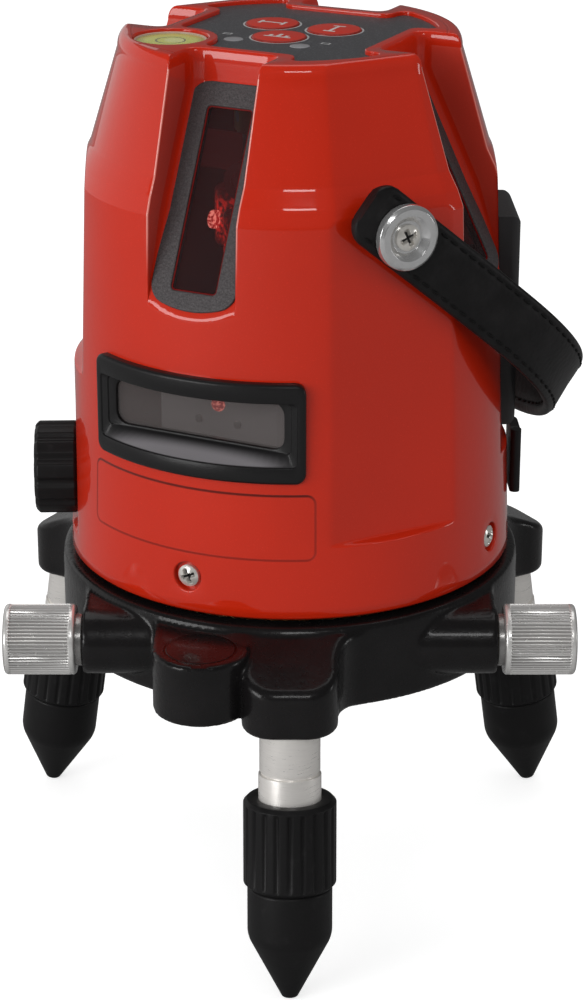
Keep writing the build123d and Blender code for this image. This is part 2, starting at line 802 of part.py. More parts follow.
with BuildPart() as chassis_plate:
    with BuildSketch(side_plane(0)):
        with BuildLine():
            Polyline(
                (SPINDLE_R + SEAT_FIT, PLATE_Z),
                (CLUTCH_IN, PLATE_Z),
                (CLUTCH_IN, CLUTCH_BOSS_Z),
                (CLUTCH_OUT, CLUTCH_BOSS_Z),
                (CLUTCH_OUT, PLATE_Z),
                (PLATE_R, PLATE_Z),
                (PLATE_R, PLATE_RIM_Z),
                (PLATE_R - PLATE_RIM_T, PLATE_RIM_Z),
                (PLATE_R - PLATE_RIM_T, PLATE_TOP),
                (SPINDLE_R + SEAT_FIT, PLATE_TOP),
                close=True,
            )
        make_face()
    revolve(axis=Axis.Z)
    for azimuth in SLOT_AZIMUTHS:
        with BuildSketch(face_plane(azimuth, PLATE_R - 2 * PLATE_RIM_T, SCREW_Z)):
            Circle(SCREW_R + SEAT_FIT)
        extrude(amount=OVER, mode=Mode.SUBTRACT)
save(chassis_plate, "chassis_plate")

with BuildPart() as spindle_tube:
    ring_z = BEARING_Z - 2 * FACE_GAP - RING_T
    with BuildSketch(side_plane(0)):
        with BuildLine():
            Polyline(
                (SPINDLE_BORE, BUSH_L + 2 * FACE_GAP),
                (SPINDLE_R, BUSH_L + 2 * FACE_GAP),
                (SPINDLE_R, ring_z - SEAT_FIT),
                (SPINDLE_R - RING_GROOVE, ring_z - SEAT_FIT),
                (SPINDLE_R - RING_GROOVE, ring_z + RING_T + SEAT_FIT),
                (SPINDLE_R, ring_z + RING_T + SEAT_FIT),
                (SPINDLE_R, PLATE_TOP),
                (SPINDLE_FLANGE_R, PLATE_TOP),
                (SPINDLE_FLANGE_R, PLATE_TOP + SPINDLE_FLANGE_T),
                (SPINDLE_BORE, PLATE_TOP + SPINDLE_FLANGE_T),
                close=True,
            )
        make_face()
    revolve(axis=Axis.Z)
save(spindle_tube, "spindle_tube")

with BuildPart() as spindle_ring:
    with BuildSketch(Plane.XY.offset(ring_z)):
        Circle(RING_R)
        Circle(SPINDLE_R - RING_GROOVE + SEAT_FIT, mode=Mode.SUBTRACT)
    extrude(amount=RING_T)
save(spindle_ring, "spindle_ring")

# Head shell: the round outline, then its slots and flats, then the hollow inside
with BuildPart() as round_form:
    with BuildSketch(side_plane(0)):
        with BuildLine():
            Polyline(
                (0, SHELL_Z),
                (SHELL_R, SHELL_Z),
                (WAIST_R, WAIST_Z),
                (SHOULDER_R, SHOULDER_Z),
                (CROWN_R, CROWN_Z),
                (TOP_R, TOP_Z),
                (0, TOP_Z),
                close=True,
            )
        make_face()
    revolve(axis=Axis.Z)

SLOPE_L = (shell_radius(SLOT_FOOT_Z) - SLOT_BACK) / SLOPE.X

with BuildPart() as slot_space:
    for azimuth in SLOT_AZIMUTHS:
        with BuildSketch(side_plane(azimuth)):
            with BuildLine():
                Polyline(
                    (SLOT_BACK, TOP_Z + OVER),
                    (SLOT_BACK, SLOT_TOP_Z),
                    slope_point(SLOPE_L + OVER),
                    (SHELL_R + OVER, TOP_Z + OVER),
                    close=True,
                )
            make_face()
        extrude(amount=SLOT_W / 2, both=True)
    backs = slot_space.edges().filter_by(Axis.Z).filter_by(
        lambda e: abs(sqrt(e.center().X ** 2 + e.center().Y ** 2) - sqrt(SLOT_BACK**2 + (SLOT_W / 2) ** 2)) < FACE_GAP
    )
    fillet(backs, SLOT_CORNER)

with BuildPart() as outer_form:
    add(round_form.part)
    add(slot_space.part, mode=Mode.SUBTRACT)
    for azimuth, bottom in zip(FLAT_AZIMUTHS, FLAT_BOTTOMS):
        with BuildSketch(side_plane(azimuth)):
            with BuildLine():
                Polyline(
                    (flat_radius(bottom), bottom),
                    (flat_radius(SHOULDER_Z), SHOULDER_Z),
                    (SHELL_R + OVER, SHOULDER_Z),
                    (SHELL_R + OVER, bottom - OVER / 4),
                    close=True,
                )
            make_face()
        extrude(amount=SLOT_W, both=True, mode=Mode.SUBTRACT)
    with BuildSketch(side_plane(LOCK_AZIMUTH)):
        with BuildLine():
            Polyline(
                (LOCK_FLAT_R, LOCK_FLAT_Z0),
                (LOCK_FLAT_R, LOCK_FLAT_Z1),
                (shell_radius(LOCK_FLAT_TOP), LOCK_FLAT_TOP),
                (SHELL_R + OVER, LOCK_FLAT_TOP),
                (SHELL_R + OVER, LOCK_FLAT_Z0),
                close=True,
            )
        make_face()
    extrude(amount=SLOT_W, both=True, mode=Mode.SUBTRACT)

with BuildPart() as hollow:
    with BuildSketch(side_plane(0)):
        with BuildLine():
            Polyline(
                (0, SHELL_Z),
                (SHELL_R - SHELL_WALL, SHELL_Z),
                (WAIST_R - SHELL_WALL, WAIST_Z),
                (SHOULDER_R - SHELL_WALL, SHOULDER_Z),
                (CROWN_R - SHELL_WALL, CEILING_Z),
                (0, CEILING_Z),
                close=True,
            )
        make_face()
    revolve(axis=Axis.Z)
    for azimuth in SLOT_AZIMUTHS:
        under = BEZEL_T + SLOT_FLOOR_T
        with BuildSketch(side_plane(azimuth)):
            with BuildLine():
                Polyline(
                    (SLOT_BACK - SHELL_WALL, TOP_Z),
                    (SLOT_BACK - SHELL_WALL, SLOT_TOP_Z + SLOT_FLOOR_T),
                    slope_point(-SLOT_FLOOR_T, under),
                    slope_point(SLOPE_L + OVER, under),
                    (SHELL_R + OVER, TOP_Z),
                    close=True,
                )
            make_face()
        extrude(amount=SLOT_W / 2 + SHELL_WALL, both=True, mode=Mode.SUBTRACT)
    for azimuth, bottom in zip(FLAT_AZIMUTHS, FLAT_BOTTOMS):
        with BuildSketch(side_plane(azimuth)):
            with BuildLine():
                Polyline(
                    (flat_radius(bottom) - SHELL_WALL, bottom - SHELL_WALL),
                    (flat_radius(SHOULDER_Z) - SHELL_WALL, SHOULDER_Z),
                    (SHELL_R + OVER, SHOULDER_Z),
                    (SHELL_R + OVER, bottom - SHELL_WALL),
                    close=True,
                )
            make_face()
        extrude(amount=SLOT_W, both=True, mode=Mode.SUBTRACT)
    with BuildSketch(side_plane(LOCK_AZIMUTH)):
        with BuildLine():
            Polyline(
                (LOCK_FLAT_R - SHELL_WALL, PLATE_RIM_Z + FACE_GAP),
                (LOCK_FLAT_R - SHELL_WALL, LOCK_FLAT_TOP),
                (SHELL_R + OVER, LOCK_FLAT_TOP),
                (SHELL_R + OVER, PLATE_RIM_Z + FACE_GAP),
                close=True,
            )
        make_face()
    extrude(amount=SLOT_W, both=True, mode=Mode.SUBTRACT)

with BuildPart() as label_space:
    with BuildSketch(face_plane(0, SHELL_R + OVER / 10, (LABEL_Z0 + LABEL_Z1) / 2)):
        RectangleRounded(LABEL_W, LABEL_Z1 - LABEL_Z0, LABEL_CORNER)
    extrude(amount=-OVER)
    with BuildSketch(side_plane(0)):
        with BuildLine():
            Polyline(
                (shell_radius(LABEL_Z0) - LABEL_DEPTH, LABEL_Z0),
                (shell_radius(LABEL_Z1) - LABEL_DEPTH, LABEL_Z1),
                (SHELL_R + OVER, LABEL_Z1),
                (SHELL_R + OVER, LABEL_Z0),
                close=True,
            )
        make_face()
    revolve(axis=Axis.Z, mode=Mode.INTERSECT)

with BuildPart() as head_shell:
    add(outer_form.part)
    add(hollow.part, mode=Mode.SUBTRACT)
    add(label_space.part, mode=Mode.SUBTRACT)
    # Seat of each slot's bezel and the opening behind its glass
    for azimuth in SLOT_AZIMUTHS:
        with BuildSketch(slope_plane(azimuth)) as seat:
            with Locations((0, SLOPE_L / 2)):
                Rectangle(SLOT_W, SLOPE_L)
            fillet(seat.vertices().group_by(Axis.Y)[0], BEZEL_CORNER)
        extrude(amount=-BEZEL_T, mode=Mode.SUBTRACT)
        with BuildSketch(slope_plane(azimuth)):
            with Locations((0, (WINDOW_START + WINDOW_END) / 2)):
                Rectangle(WINDOW_W + 2 * GLASS_LAP, WINDOW_END - WINDOW_START + 2 * GLASS_LAP)
        extrude(amount=-(BEZEL_T + SLOT_FLOOR_T + SHELL_WALL), mode=Mode.SUBTRACT)
    # Hole of the horizontal line window
    with BuildSketch(face_plane(0, LINE_BACK - SHELL_WALL, (LINE_PLUG_Z0 + LINE_PLUG_Z1) / 2)):
        Rectangle(LINE_PLUG_W + 2 * SEAT_FIT, LINE_PLUG_Z1 - LINE_PLUG_Z0 + 2 * SEAT_FIT)
    extrude(amount=OVER, mode=Mode.SUBTRACT)
    # Screw pockets
    for azimuth in SLOT_AZIMUTHS:
        with BuildSketch(face_plane(azimuth, PLATE_R, SCREW_Z)):
            Circle(SCREW_R + SEAT_FIT)
        extrude(amount=OVER, mode=Mode.SUBTRACT)
        with BuildSketch(face_plane(azimuth, shell_radius(SCREW_Z) - SCREW_POCKET, SCREW_Z)):
            Circle(SCREW_POCKET_R)
        extrude(amount=OVER, mode=Mode.SUBTRACT)
    # Recess of the key overlay, with a hole under each key
    with BuildSketch(Plane.XY.offset(OVERLAY_Z)) as overlay_recess:
        Circle(OVERLAY_R + SEAT_FIT)
        for azimuth in SLOT_AZIMUTHS:
            notch = heading(azimuth) * (SLOT_BACK - OVERLAY_RIM + SEAT_FIT + OVER / 2)
            with Locations(Location((notch.X, notch.Y, 0), (0, 0, azimuth))):
                Rectangle(SLOT_W + 2 * (OVERLAY_RIM - SEAT_FIT), OVER, mode=Mode.SUBTRACT)
        vial = heading(VIAL_AZIMUTH) * VIAL_REACH
        with Locations((vial.X, vial.Y)):
            Circle(VIAL_R + VIAL_RIM, mode=Mode.SUBTRACT)
        with Locations(Location((vial.X, vial.Y, 0), (0, 0, VIAL_AZIMUTH - 90))):
            Rectangle(OVER, 2 * OVER, align=(Align.MIN, Align.CENTER), mode=Mode.SUBTRACT)
        tips = overlay_recess.vertices().filter_by(lambda v: Vector(v).length > OVERLAY_R)
        fillet(tips, OVERLAY_TIP)
        inner = overlay_recess.vertices().filter_by(lambda v: Vector(v).length < OVERLAY_R - OVERLAY_TIP * 2)
        fillet(inner, OVERLAY_CORNER - SEAT_FIT)
    extrude(amount=OVER, mode=Mode.SUBTRACT)
    with BuildSketch(Plane.XY.offset(CEILING_Z)):
        with Locations(*KEY_PLACES):
            Circle(KEY_STEM_R + RUN_FIT)
    extrude(amount=OVER, mode=Mode.SUBTRACT)
    # Bore of the vial
    with BuildSketch(Plane.XY.offset(VIAL_Z0)):
        with Locations((vial.X, vial.Y)):
            Circle(VIAL_R + SEAT_FIT)
    extrude(amount=OVER, mode=Mode.SUBTRACT)
    # Holes of the lock shaft, the charging socket, the battery bay and the strap's screws
    with BuildSketch(face_plane(LOCK_AZIMUTH, LOCK_SHAFT_END, LOCK_Z)):
        Circle(LOCK_SHAFT_R + RUN_FIT)
    extrude(amount=OVER, mode=Mode.SUBTRACT)
    with BuildSketch(face_plane(BAY_AZIMUTH, SOCKET_START, SOCKET_Z)):
        Circle(SOCKET_R + SEAT_FIT)
    extrude(amount=OVER, mode=Mode.SUBTRACT)
    with BuildSketch(face_plane(BAY_AZIMUTH, CELL_REACH, (BAY_OPEN_Z0 + BAY_OPEN_Z1) / 2)):
        Rectangle(BAY_OPEN_W, BAY_OPEN_Z1 - BAY_OPEN_Z0)
    extrude(amount=OVER, mode=Mode.SUBTRACT)
    for turn in (0, 180):
        with BuildSketch(face_plane(STRAP_AZIMUTH + turn, PIVOT_SCREW_END, STRAP_Z)):
            Circle(PIVOT_SCREW_R + SEAT_FIT)
        extrude(amount=OVER, mode=Mode.SUBTRACT)
save(head_shell, "head_shell")

# Bezel and glass of each slot
for name, azimuth in zip(SLOT_NAMES, SLOT_AZIMUTHS):
    with BuildPart() as slot_bezel:
        with BuildSketch(slope_plane(azimuth)) as bezel_plan:
            with Locations((0, SLOPE_L / 2)):
                Rectangle(SLOT_W - 2 * SEAT_FIT, SLOPE_L - 2 * SEAT_FIT)
            fillet(bezel_plan.vertices().group_by(Axis.Y)[0], BEZEL_CORNER)
            with Locations((0, (WINDOW_START + WINDOW_END) / 2)):
                RectangleRounded(WINDOW_W, WINDOW_END - WINDOW_START, WINDOW_CORNER, mode=Mode.SUBTRACT)
        extrude(amount=-BEZEL_T)
        add(round_form.part, mode=Mode.INTERSECT)
    save(slot_bezel, f"slot_bezel_{name}")

    with BuildPart() as slot_glass:
        with BuildSketch(slope_plane(azimuth, BEZEL_T)):
            with Locations((0, (WINDOW_START + WINDOW_END) / 2)):
                Rectangle(
                    WINDOW_W + 2 * (GLASS_LAP - SEAT_FIT),
                    WINDOW_END - WINDOW_START + 2 * (GLASS_LAP - SEAT_FIT),
                )
        extrude(amount=-GLASS_T)
    save(slot_glass, f"slot_glass_{name}")

# Horizontal line window: a curved frame with a flat glass set back in it
with BuildPart() as line_flange:
    with BuildSketch(face_plane(0, LINE_BACK, (LINE_Z0 + LINE_Z1) / 2)):
        RectangleRounded(2 * LINE_R * sin(radians(LINE_SPAN)), LINE_Z1 - LINE_Z0, LINE_CORNER)
    extrude(amount=OVER)
    with BuildSketch(side_plane(0)):
        with BuildLine():
            Polyline(
                (shell_radius(LINE_Z0) + SEAT_FIT, LINE_Z0),
                (LINE_R, LINE_Z0),
                (LINE_R, LINE_Z1),
                (shell_radius(LINE_Z1) + SEAT_FIT, LINE_Z1),
                close=True,
            )
        make_face()
    revolve(axis=Axis.Z, mode=Mode.INTERSECT)
    fillet(line_flange.faces().sort_by(lambda f: -f.center().Y).last.edges(), BASE_EDGE)

with BuildPart() as line_bezel:
    with BuildSketch(face_plane(0, LINE_BACK, (LINE_PLUG_Z0 + LINE_PLUG_Z1) / 2)):
        Rectangle(LINE_PLUG_W, LINE_PLUG_Z1 - LINE_PLUG_Z0)
    extrude(amount=OVER)
    with BuildSketch(Plane.XY.offset(LINE_PLUG_Z0)):
        Circle(LINE_R - BASE_EDGE)
    extrude(amount=LINE_PLUG_Z1 - LINE_PLUG_Z0, mode=Mode.INTERSECT)
    add(line_flange.part)
    with BuildSketch(face_plane(0, LINE_FACE, (LINE_RECESS_Z0 + LINE_RECESS_Z1) / 2)):
        Rectangle(LINE_RECESS_W - 4 * LINE_CORNER * tan(radians(LINE_FLARE)), LINE_RECESS_Z1 - LINE_RECESS_Z0)
    extrude(amount=OVER, taper=-LINE_FLARE / 4, mode=Mode.SUBTRACT)
    with BuildSketch(face_plane(0, LINE_BACK, (LINE_OPEN_Z0 + LINE_RECESS_Z1) / 2)):
        RectangleRounded(LINE_OPEN_W, LINE_RECESS_Z1 - LINE_OPEN_Z0, LINE_OPEN_CORNER)
    extrude(amount=OVER / 10, mode=Mode.SUBTRACT)
save(line_bezel, "line_bezel")

with BuildPart() as line_glass:
    with BuildSketch(face_plane(0, LINE_BACK, (LINE_OPEN_Z0 + LINE_RECESS_Z1) / 2)):
        Rectangle(LINE_OPEN_W + 2 * GLASS_LAP, LINE_RECESS_Z1 - LINE_OPEN_Z0 + 2 * GLASS_LAP)
    extrude(amount=-GLASS_T)
save(line_glass, "line_glass")

# Pan-head screws with a cross recess that hold the shell on the plate
with BuildPart() as shell_screws:
    screw_seat = shell_radius(SCREW_Z) - SCREW_POCKET
    for azimuth in SLOT_AZIMUTHS:
        with BuildSketch(face_plane(azimuth, screw_seat - SCREW_L, SCREW_Z)):
            Circle(SCREW_R)
        extrude(amount=SCREW_L)
        with BuildSketch(side_plane(azimuth)):
            with BuildLine():
                crown = dome(screw_seat + SCREW_HEAD_T / 2, SCREW_HEAD_R, SCREW_HEAD_T / 2, SCREW_Z)
                ThreePointArc(*crown)
                Polyline(crown[2], (screw_seat, SCREW_Z), (screw_seat, SCREW_Z + SCREW_HEAD_R), crown[0])
            make_face()
        revolve(axis=Axis(origin=(0, 0, SCREW_Z), direction=heading(azimuth)))
        with BuildSketch(face_plane(azimuth, screw_seat + SCREW_HEAD_T, SCREW_Z)):
            Rectangle(CROSS_L, CROSS_W, rotation=30)
            Rectangle(CROSS_W, CROSS_L, rotation=30)
        extrude(amount=-CROSS_DEPTH, mode=Mode.SUBTRACT)
save(shell_screws, "shell_screws")

# Key overlay with its keys and lamps
with BuildPart() as key_overlay:
    with BuildSketch(Plane.XY.offset(OVERLAY_Z)) as overlay_plan:
        Circle(OVERLAY_R)
        for azimuth in SLOT_AZIMUTHS:
            notch = heading(azimuth) * (SLOT_BACK - OVERLAY_RIM + OVER / 2)
            with Locations(Location((notch.X, notch.Y, 0), (0, 0, azimuth))):
                Rectangle(SLOT_W + 2 * OVERLAY_RIM, OVER, mode=Mode.SUBTRACT)
        with Locations((vial.X, vial.Y)):
            Circle(VIAL_R + VIAL_RIM + SEAT_FIT, mode=Mode.SUBTRACT)
        with Locations(Location((vial.X, vial.Y, 0), (0, 0, VIAL_AZIMUTH - 90))):
            Rectangle(OVER, 2 * OVER, align=(Align.MIN, Align.CENTER), mode=Mode.SUBTRACT)
        tips = overlay_plan.vertices().filter_by(lambda v: Vector(v).length > OVERLAY_R - FACE_GAP)
        fillet(tips, OVERLAY_TIP)
        inner = overlay_plan.vertices().filter_by(lambda v: Vector(v).length < OVERLAY_R - OVERLAY_TIP * 2)
        fillet(inner, OVERLAY_CORNER)
        with Locations(*KEY_PLACES):
            Circle(KEY_R + 2 * RUN_FIT, mode=Mode.SUBTRACT)
        with Locations(*LAMP_PLACES):
            Circle(LAMP_R + SEAT_FIT, mode=Mode.SUBTRACT)
    extrude(amount=OVERLAY_T)
save(key_overlay, "key_overlay")

for name, place in zip(KEY_NAMES, KEY_PLACES):
    with BuildPart() as key:
        with BuildSketch(Plane.XY.offset(KEY_TOP - KEY_T)):
            with Locations(place):
                Circle(KEY_R)
        extrude(amount=KEY_T)
        fillet(key.edges().group_by(Axis.Z)[-1], KEY_T / 2)
        with BuildSketch(Plane.XY.offset(KEY_STEM_Z)):
            with Locations(place):
                Circle(KEY_STEM_R)
        extrude(amount=KEY_STEM_L)
    save(key, f"key_{name}")

with BuildPart() as led_windows:
    with BuildSketch(Plane.XY.offset(OVERLAY_Z)):
        with Locations(*LAMP_PLACES):
            Circle(LAMP_R)
    extrude(amount=OVERLAY_T + FACE_GAP)
save(led_windows, "led_windows")

# Round bubble vial: cup, liquid and crowned lens
with BuildPart() as vial_cup:
    with BuildSketch(Plane.XY.offset(VIAL_Z0)):
        with Locations((vial.X, vial.Y)):
            Circle(VIAL_R)
    extrude(amount=VIAL_TOP - VIAL_Z0)
    with BuildSketch(Plane.XY.offset(VIAL_Z0 + VIAL_FLOOR)):
        with Locations((vial.X, vial.Y)):
            Circle(VIAL_R - VIAL_WALL)
    extrude(amount=OVER, mode=Mode.SUBTRACT)
save(vial_cup, "vial_cup")

with BuildPart() as vial_liquid:
    with BuildSketch(Plane.XY.offset(VIAL_Z0 + VIAL_FLOOR)):
        with Locations((vial.X, vial.Y)):
            Circle(VIAL_R - VIAL_WALL - SEAT_FIT)
    extrude(amount=VIAL_TOP - LENS_T - VIAL_Z0 - VIAL_FLOOR)
save(vial_liquid, "vial_liquid")

with BuildPart() as vial_lens:
    lens_r = VIAL_R - VIAL_WALL - SEAT_FIT
    lens_plane = Plane(origin=(vial.X, vial.Y, 0), x_dir=heading(VIAL_AZIMUTH), z_dir=heading(VIAL_AZIMUTH - 90))
    with BuildSketch(lens_plane):
        with BuildLine():
            crown = dome(VIAL_TOP - LENS_CROWN, lens_r, LENS_CROWN)
            crown = [(radius, height) for height, radius in crown]
            ThreePointArc(*crown)
            Polyline(crown[2], (0, VIAL_TOP - LENS_T), (lens_r, VIAL_TOP - LENS_T), crown[0])
        make_face()
    revolve(axis=Axis(origin=(vial.X, vial.Y, 0), direction=(0, 0, 1)))
save(vial_lens, "vial_lens")

# Lock knob and its shaft with the cam that holds the pendulum
LOCK_AXIS = Axis(origin=(0, 0, LOCK_Z), direction=heading(LOCK_AZIMUTH))
with BuildPart() as lock_knob:
    with BuildSketch(face_plane(LOCK_AZIMUTH, LOCK_START, LOCK_Z)):
        Circle(LOCK_R)
        with PolarLocations(LOCK_R + LOCK_FLUTE_R - LOCK_FLUTE_DEPTH, LOCK_FLUTES):
            Circle(LOCK_FLUTE_R, mode=Mode.SUBTRACT)
    extrude(amount=LOCK_END - LOCK_START)
    with BuildSketch(side_plane(LOCK_AZIMUTH)):
        with BuildLine():
            Polyline(
                (LOCK_START, LOCK_Z),
                (LOCK_START, LOCK_Z + LOCK_R),
                (LOCK_END - LOCK_CHAMFER, LOCK_Z + LOCK_R),
                (LOCK_END, LOCK_Z + LOCK_R - LOCK_CHAMFER),
                (LOCK_END, LOCK_Z),
                close=True,
            )
        make_face()
    revolve(axis=LOCK_AXIS, mode=Mode.INTERSECT)
    with BuildSketch(face_plane(LOCK_AZIMUTH, LOCK_START, LOCK_Z)):
        Circle(LOCK_SHAFT_R + SEAT_FIT)
    extrude(amount=(LOCK_END - LOCK_START) / 2, mode=Mode.SUBTRACT)
save(lock_knob, "lock_knob")

with BuildPart() as lock_shaft:
    with BuildSketch(face_plane(LOCK_AZIMUTH, LOCK_SHAFT_END, LOCK_Z)):
        Circle(LOCK_SHAFT_R)
    extrude(amount=(LOCK_START + LOCK_END) / 2 - FACE_GAP - LOCK_SHAFT_END)
    with BuildSketch(face_plane(LOCK_AZIMUTH, LOCK_FLANGE_END, LOCK_Z)):
        Circle(LOCK_FLANGE_R)
    extrude(amount=-LOCK_FLANGE_T)
    with BuildSketch(face_plane(LOCK_AZIMUTH, LOCK_SHAFT_END, LOCK_Z)):
        with Locations((0, LOCK_CAM_OFFSET)):
            Circle(LOCK_CAM_R)
    extrude(amount=LOCK_CAM_T)
save(lock_shaft, "lock_shaft")

# Carrying strap on its two pivots, folded down at the back
strap_out = heading(STRAP_AZIMUTH)
strap_back = heading(STRAP_AZIMUTH + 90)
strap_down = strap_back * cos(radians(STRAP_DROP)) - Vector(0, 0, sin(radians(STRAP_DROP)))
STRAP_PLANE = Plane(origin=(0, 0, STRAP_Z), x_dir=strap_out, z_dir=strap_out.cross(strap_down))
STRAP_AXIS = Axis(origin=(0, 0, STRAP_Z), direction=strap_out)


def strap_edge(shift):
    """One edge of the bent band: leg, tight bend, wide back, and the same again on the far side."""
    turn = radians(STRAP_BEND)
    bend_x = STRAP_REACH - STRAP_BEND_R
    bend = STRAP_BEND_R + shift
    half = turn / 2
    back_r = (bend_x + STRAP_BEND_R * cos(turn)) / cos(turn)
    back_y = STRAP_LEG + STRAP_BEND_R * sin(turn) - back_r * sin(turn)
    out = STRAP_REACH + shift
    for side in (1, -1):
        Line((side * out, -STRAP_END), (side * out, STRAP_LEG))
        ThreePointArc(
            (side * out, STRAP_LEG),
            (side * (bend_x + bend * cos(half)), STRAP_LEG + bend * sin(half)),
            (side * (bend_x + bend * cos(turn)), STRAP_LEG + bend * sin(turn)),
        )
    ThreePointArc(
        (bend_x + bend * cos(turn), STRAP_LEG + bend * sin(turn)),
        (0, back_y + back_r + shift),
        (-(bend_x + bend * cos(turn)), STRAP_LEG + bend * sin(turn)),
    )


with BuildPart() as carry_strap:
    with BuildSketch(STRAP_PLANE):
        with BuildLine():
            strap_edge(STRAP_T / 2)
            strap_edge(-STRAP_T / 2)
            for side in (1, -1):
                Line(
                    (side * (STRAP_REACH - STRAP_T / 2), -STRAP_END),
                    (side * (STRAP_REACH + STRAP_T / 2), -STRAP_END),
                )
        make_face()
    extrude(amount=STRAP_W / 2, both=True)
    strap_ends = carry_strap.faces().sort_by(Axis(origin=(0, 0, STRAP_Z), direction=strap_down))[:2]
    end_corners = strap_ends.edges().filter_by(Axis(origin=(0, 0, 0), direction=strap_out))
    chamfer(end_corners, STRAP_END_CUT)
    with BuildSketch(face_plane(STRAP_AZIMUTH, 0, STRAP_Z)):
        Circle(PIVOT_R + RUN_FIT)
    extrude(amount=STRAP_REACH + STRAP_T, both=True, mode=Mode.SUBTRACT)
save(carry_strap, "carry_strap")

with BuildPart() as strap_bushes:
    strap_in = STRAP_REACH - STRAP_T / 2
    for turn in (0, 180):
        with BuildSketch(face_plane(STRAP_AZIMUTH + turn, PIVOT_IN, STRAP_Z)):
            Circle(PIVOT_FLANGE_R)
        extrude(amount=strap_in - FACE_GAP - PIVOT_IN)
        with BuildSketch(face_plane(STRAP_AZIMUTH + turn, PIVOT_IN, STRAP_Z)):
            Circle(PIVOT_R)
        extrude(amount=strap_in + STRAP_T + FACE_GAP - PIVOT_IN)
        with BuildSketch(face_plane(STRAP_AZIMUTH + turn, PIVOT_IN, STRAP_Z)):
            Circle(PIVOT_SCREW_R + SEAT_FIT)
        extrude(amount=OVER, mode=Mode.SUBTRACT)
save(strap_bushes, "strap_bushes")

washer_in = STRAP_REACH + STRAP_T / 2 + FACE_GAP
with BuildPart() as strap_washers:
    for turn in (0, 180):
        azimuth = STRAP_AZIMUTH + turn
        with BuildSketch(side_plane(azimuth)):
            with BuildLine():
                Polyline(
                    (washer_in, STRAP_Z + PIVOT_SCREW_R + SEAT_FIT),
                    (washer_in, STRAP_Z + WASHER_R),
                    (washer_in + WASHER_T - KNOB_CHAMFER, STRAP_Z + WASHER_R),
                    (washer_in + WASHER_T, STRAP_Z + WASHER_R - KNOB_CHAMFER),
                    (washer_in + WASHER_T, STRAP_Z + WASHER_DISH_R + KNOB_CHAMFER),
                    (washer_in + WASHER_T - WASHER_DISH, STRAP_Z + PIVOT_HEAD_R + SEAT_FIT),
                    (washer_in + WASHER_T - WASHER_DISH, STRAP_Z + PIVOT_SCREW_R + SEAT_FIT),
                    close=True,
                )
            make_face()
        revolve(axis=Axis(origin=(0, 0, STRAP_Z), direction=heading(azimuth)))
save(strap_washers, "strap_washers")

with BuildPart() as strap_screws:
    head_in = washer_in + WASHER_T - WASHER_DISH
    for turn in (0, 180):
        azimuth = STRAP_AZIMUTH + turn
        with BuildSketch(face_plane(azimuth, PIVOT_SCREW_END, STRAP_Z)):
            Circle(PIVOT_SCREW_R)
        extrude(amount=head_in - PIVOT_SCREW_END)
        with BuildSketch(side_plane(azimuth)):
            with BuildLine():
                crown = dome(head_in + CROWN_EDGE, PIVOT_HEAD_R, WASHER_DISH - CROWN_EDGE, STRAP_Z)
                ThreePointArc(*crown)
                Polyline(crown[2], (head_in, STRAP_Z), (head_in, STRAP_Z + PIVOT_HEAD_R), crown[0])
            make_face()
        revolve(axis=Axis(origin=(0, 0, STRAP_Z), direction=heading(azimuth)))
        with BuildSketch(face_plane(azimuth, head_in + WASHER_DISH, STRAP_Z)):
            Rectangle(CROSS_L, CROSS_W, rotation=20)
            Rectangle(CROSS_W, CROSS_L, rotation=20)
        extrude(amount=-CROSS_DEPTH, mode=Mode.SUBTRACT)
save(strap_screws, "strap_screws")

# Battery bay: sliding door, tray and cell
with BuildPart() as battery_door:
    with BuildSketch(side_plane(BAY_AZIMUTH)):
        with BuildLine():
            Polyline(
                (flat_radius(DOOR_Z0) + DOOR_GAP, DOOR_Z0),
                (DOOR_FACE, DOOR_Z0),
                (DOOR_FACE, DOOR_Z1),
                (flat_radius(DOOR_Z1) + DOOR_GAP, DOOR_Z1),
                close=True,
            )
        make_face()
    extrude(amount=DOOR_W / 2, both=True)
    door_front = battery_door.faces().sort_by(Axis(origin=(0, 0, 0), direction=heading(BAY_AZIMUTH))).last
    fillet(door_front.edges(), DOOR_ROUND)
save(battery_door, "battery_door")

with BuildPart() as battery_tray:
    tray_w = 2 * (CELL_R + SEAT_FIT + TRAY_WALL)
    with BuildSketch(Plane.XY.offset(CELL_Z - TRAY_WALL)):
        middle = heading(BAY_AZIMUTH) * CELL_REACH
        with Locations(Location((middle.X, middle.Y, 0), (0, 0, BAY_AZIMUTH - 90))):
            Rectangle(tray_w, tray_w)
    extrude(amount=CELL_L + 2 * TRAY_WALL)
    with BuildSketch(Plane.XY.offset(CELL_Z)):
        with Locations(Location((middle.X, middle.Y, 0), (0, 0, BAY_AZIMUTH - 90))):
            Circle(CELL_R + SEAT_FIT)
            with Locations((CELL_R + TRAY_WALL, 0)):
                Rectangle(2 * (CELL_R + TRAY_WALL), 2 * (CELL_R + SEAT_FIT))
    extrude(amount=CELL_L, mode=Mode.SUBTRACT)
save(battery_tray, "battery_tray")

with BuildPart() as battery_cell:
    with BuildSketch(Plane.XY.offset(CELL_Z + FACE_GAP)):
        with Locations((middle.X, middle.Y)):
            Circle(CELL_R)
    extrude(amount=CELL_L - 2 * FACE_GAP)
save(battery_cell, "battery_cell")

# Charging socket and its hinged cover
with BuildPart() as dc_socket:
    with BuildSketch(face_plane(BAY_AZIMUTH, SOCKET_START, SOCKET_Z)):
        Circle(SOCKET_R)
    extrude(amount=shell_radius(SOCKET_Z) - SOCKET_START)
    with BuildSketch(face_plane(BAY_AZIMUTH, SOCKET_START + GLASS_T, SOCKET_Z)):
        Circle(SOCKET_BORE)
    extrude(amount=OVER, mode=Mode.SUBTRACT)
save(dc_socket, "dc_socket")

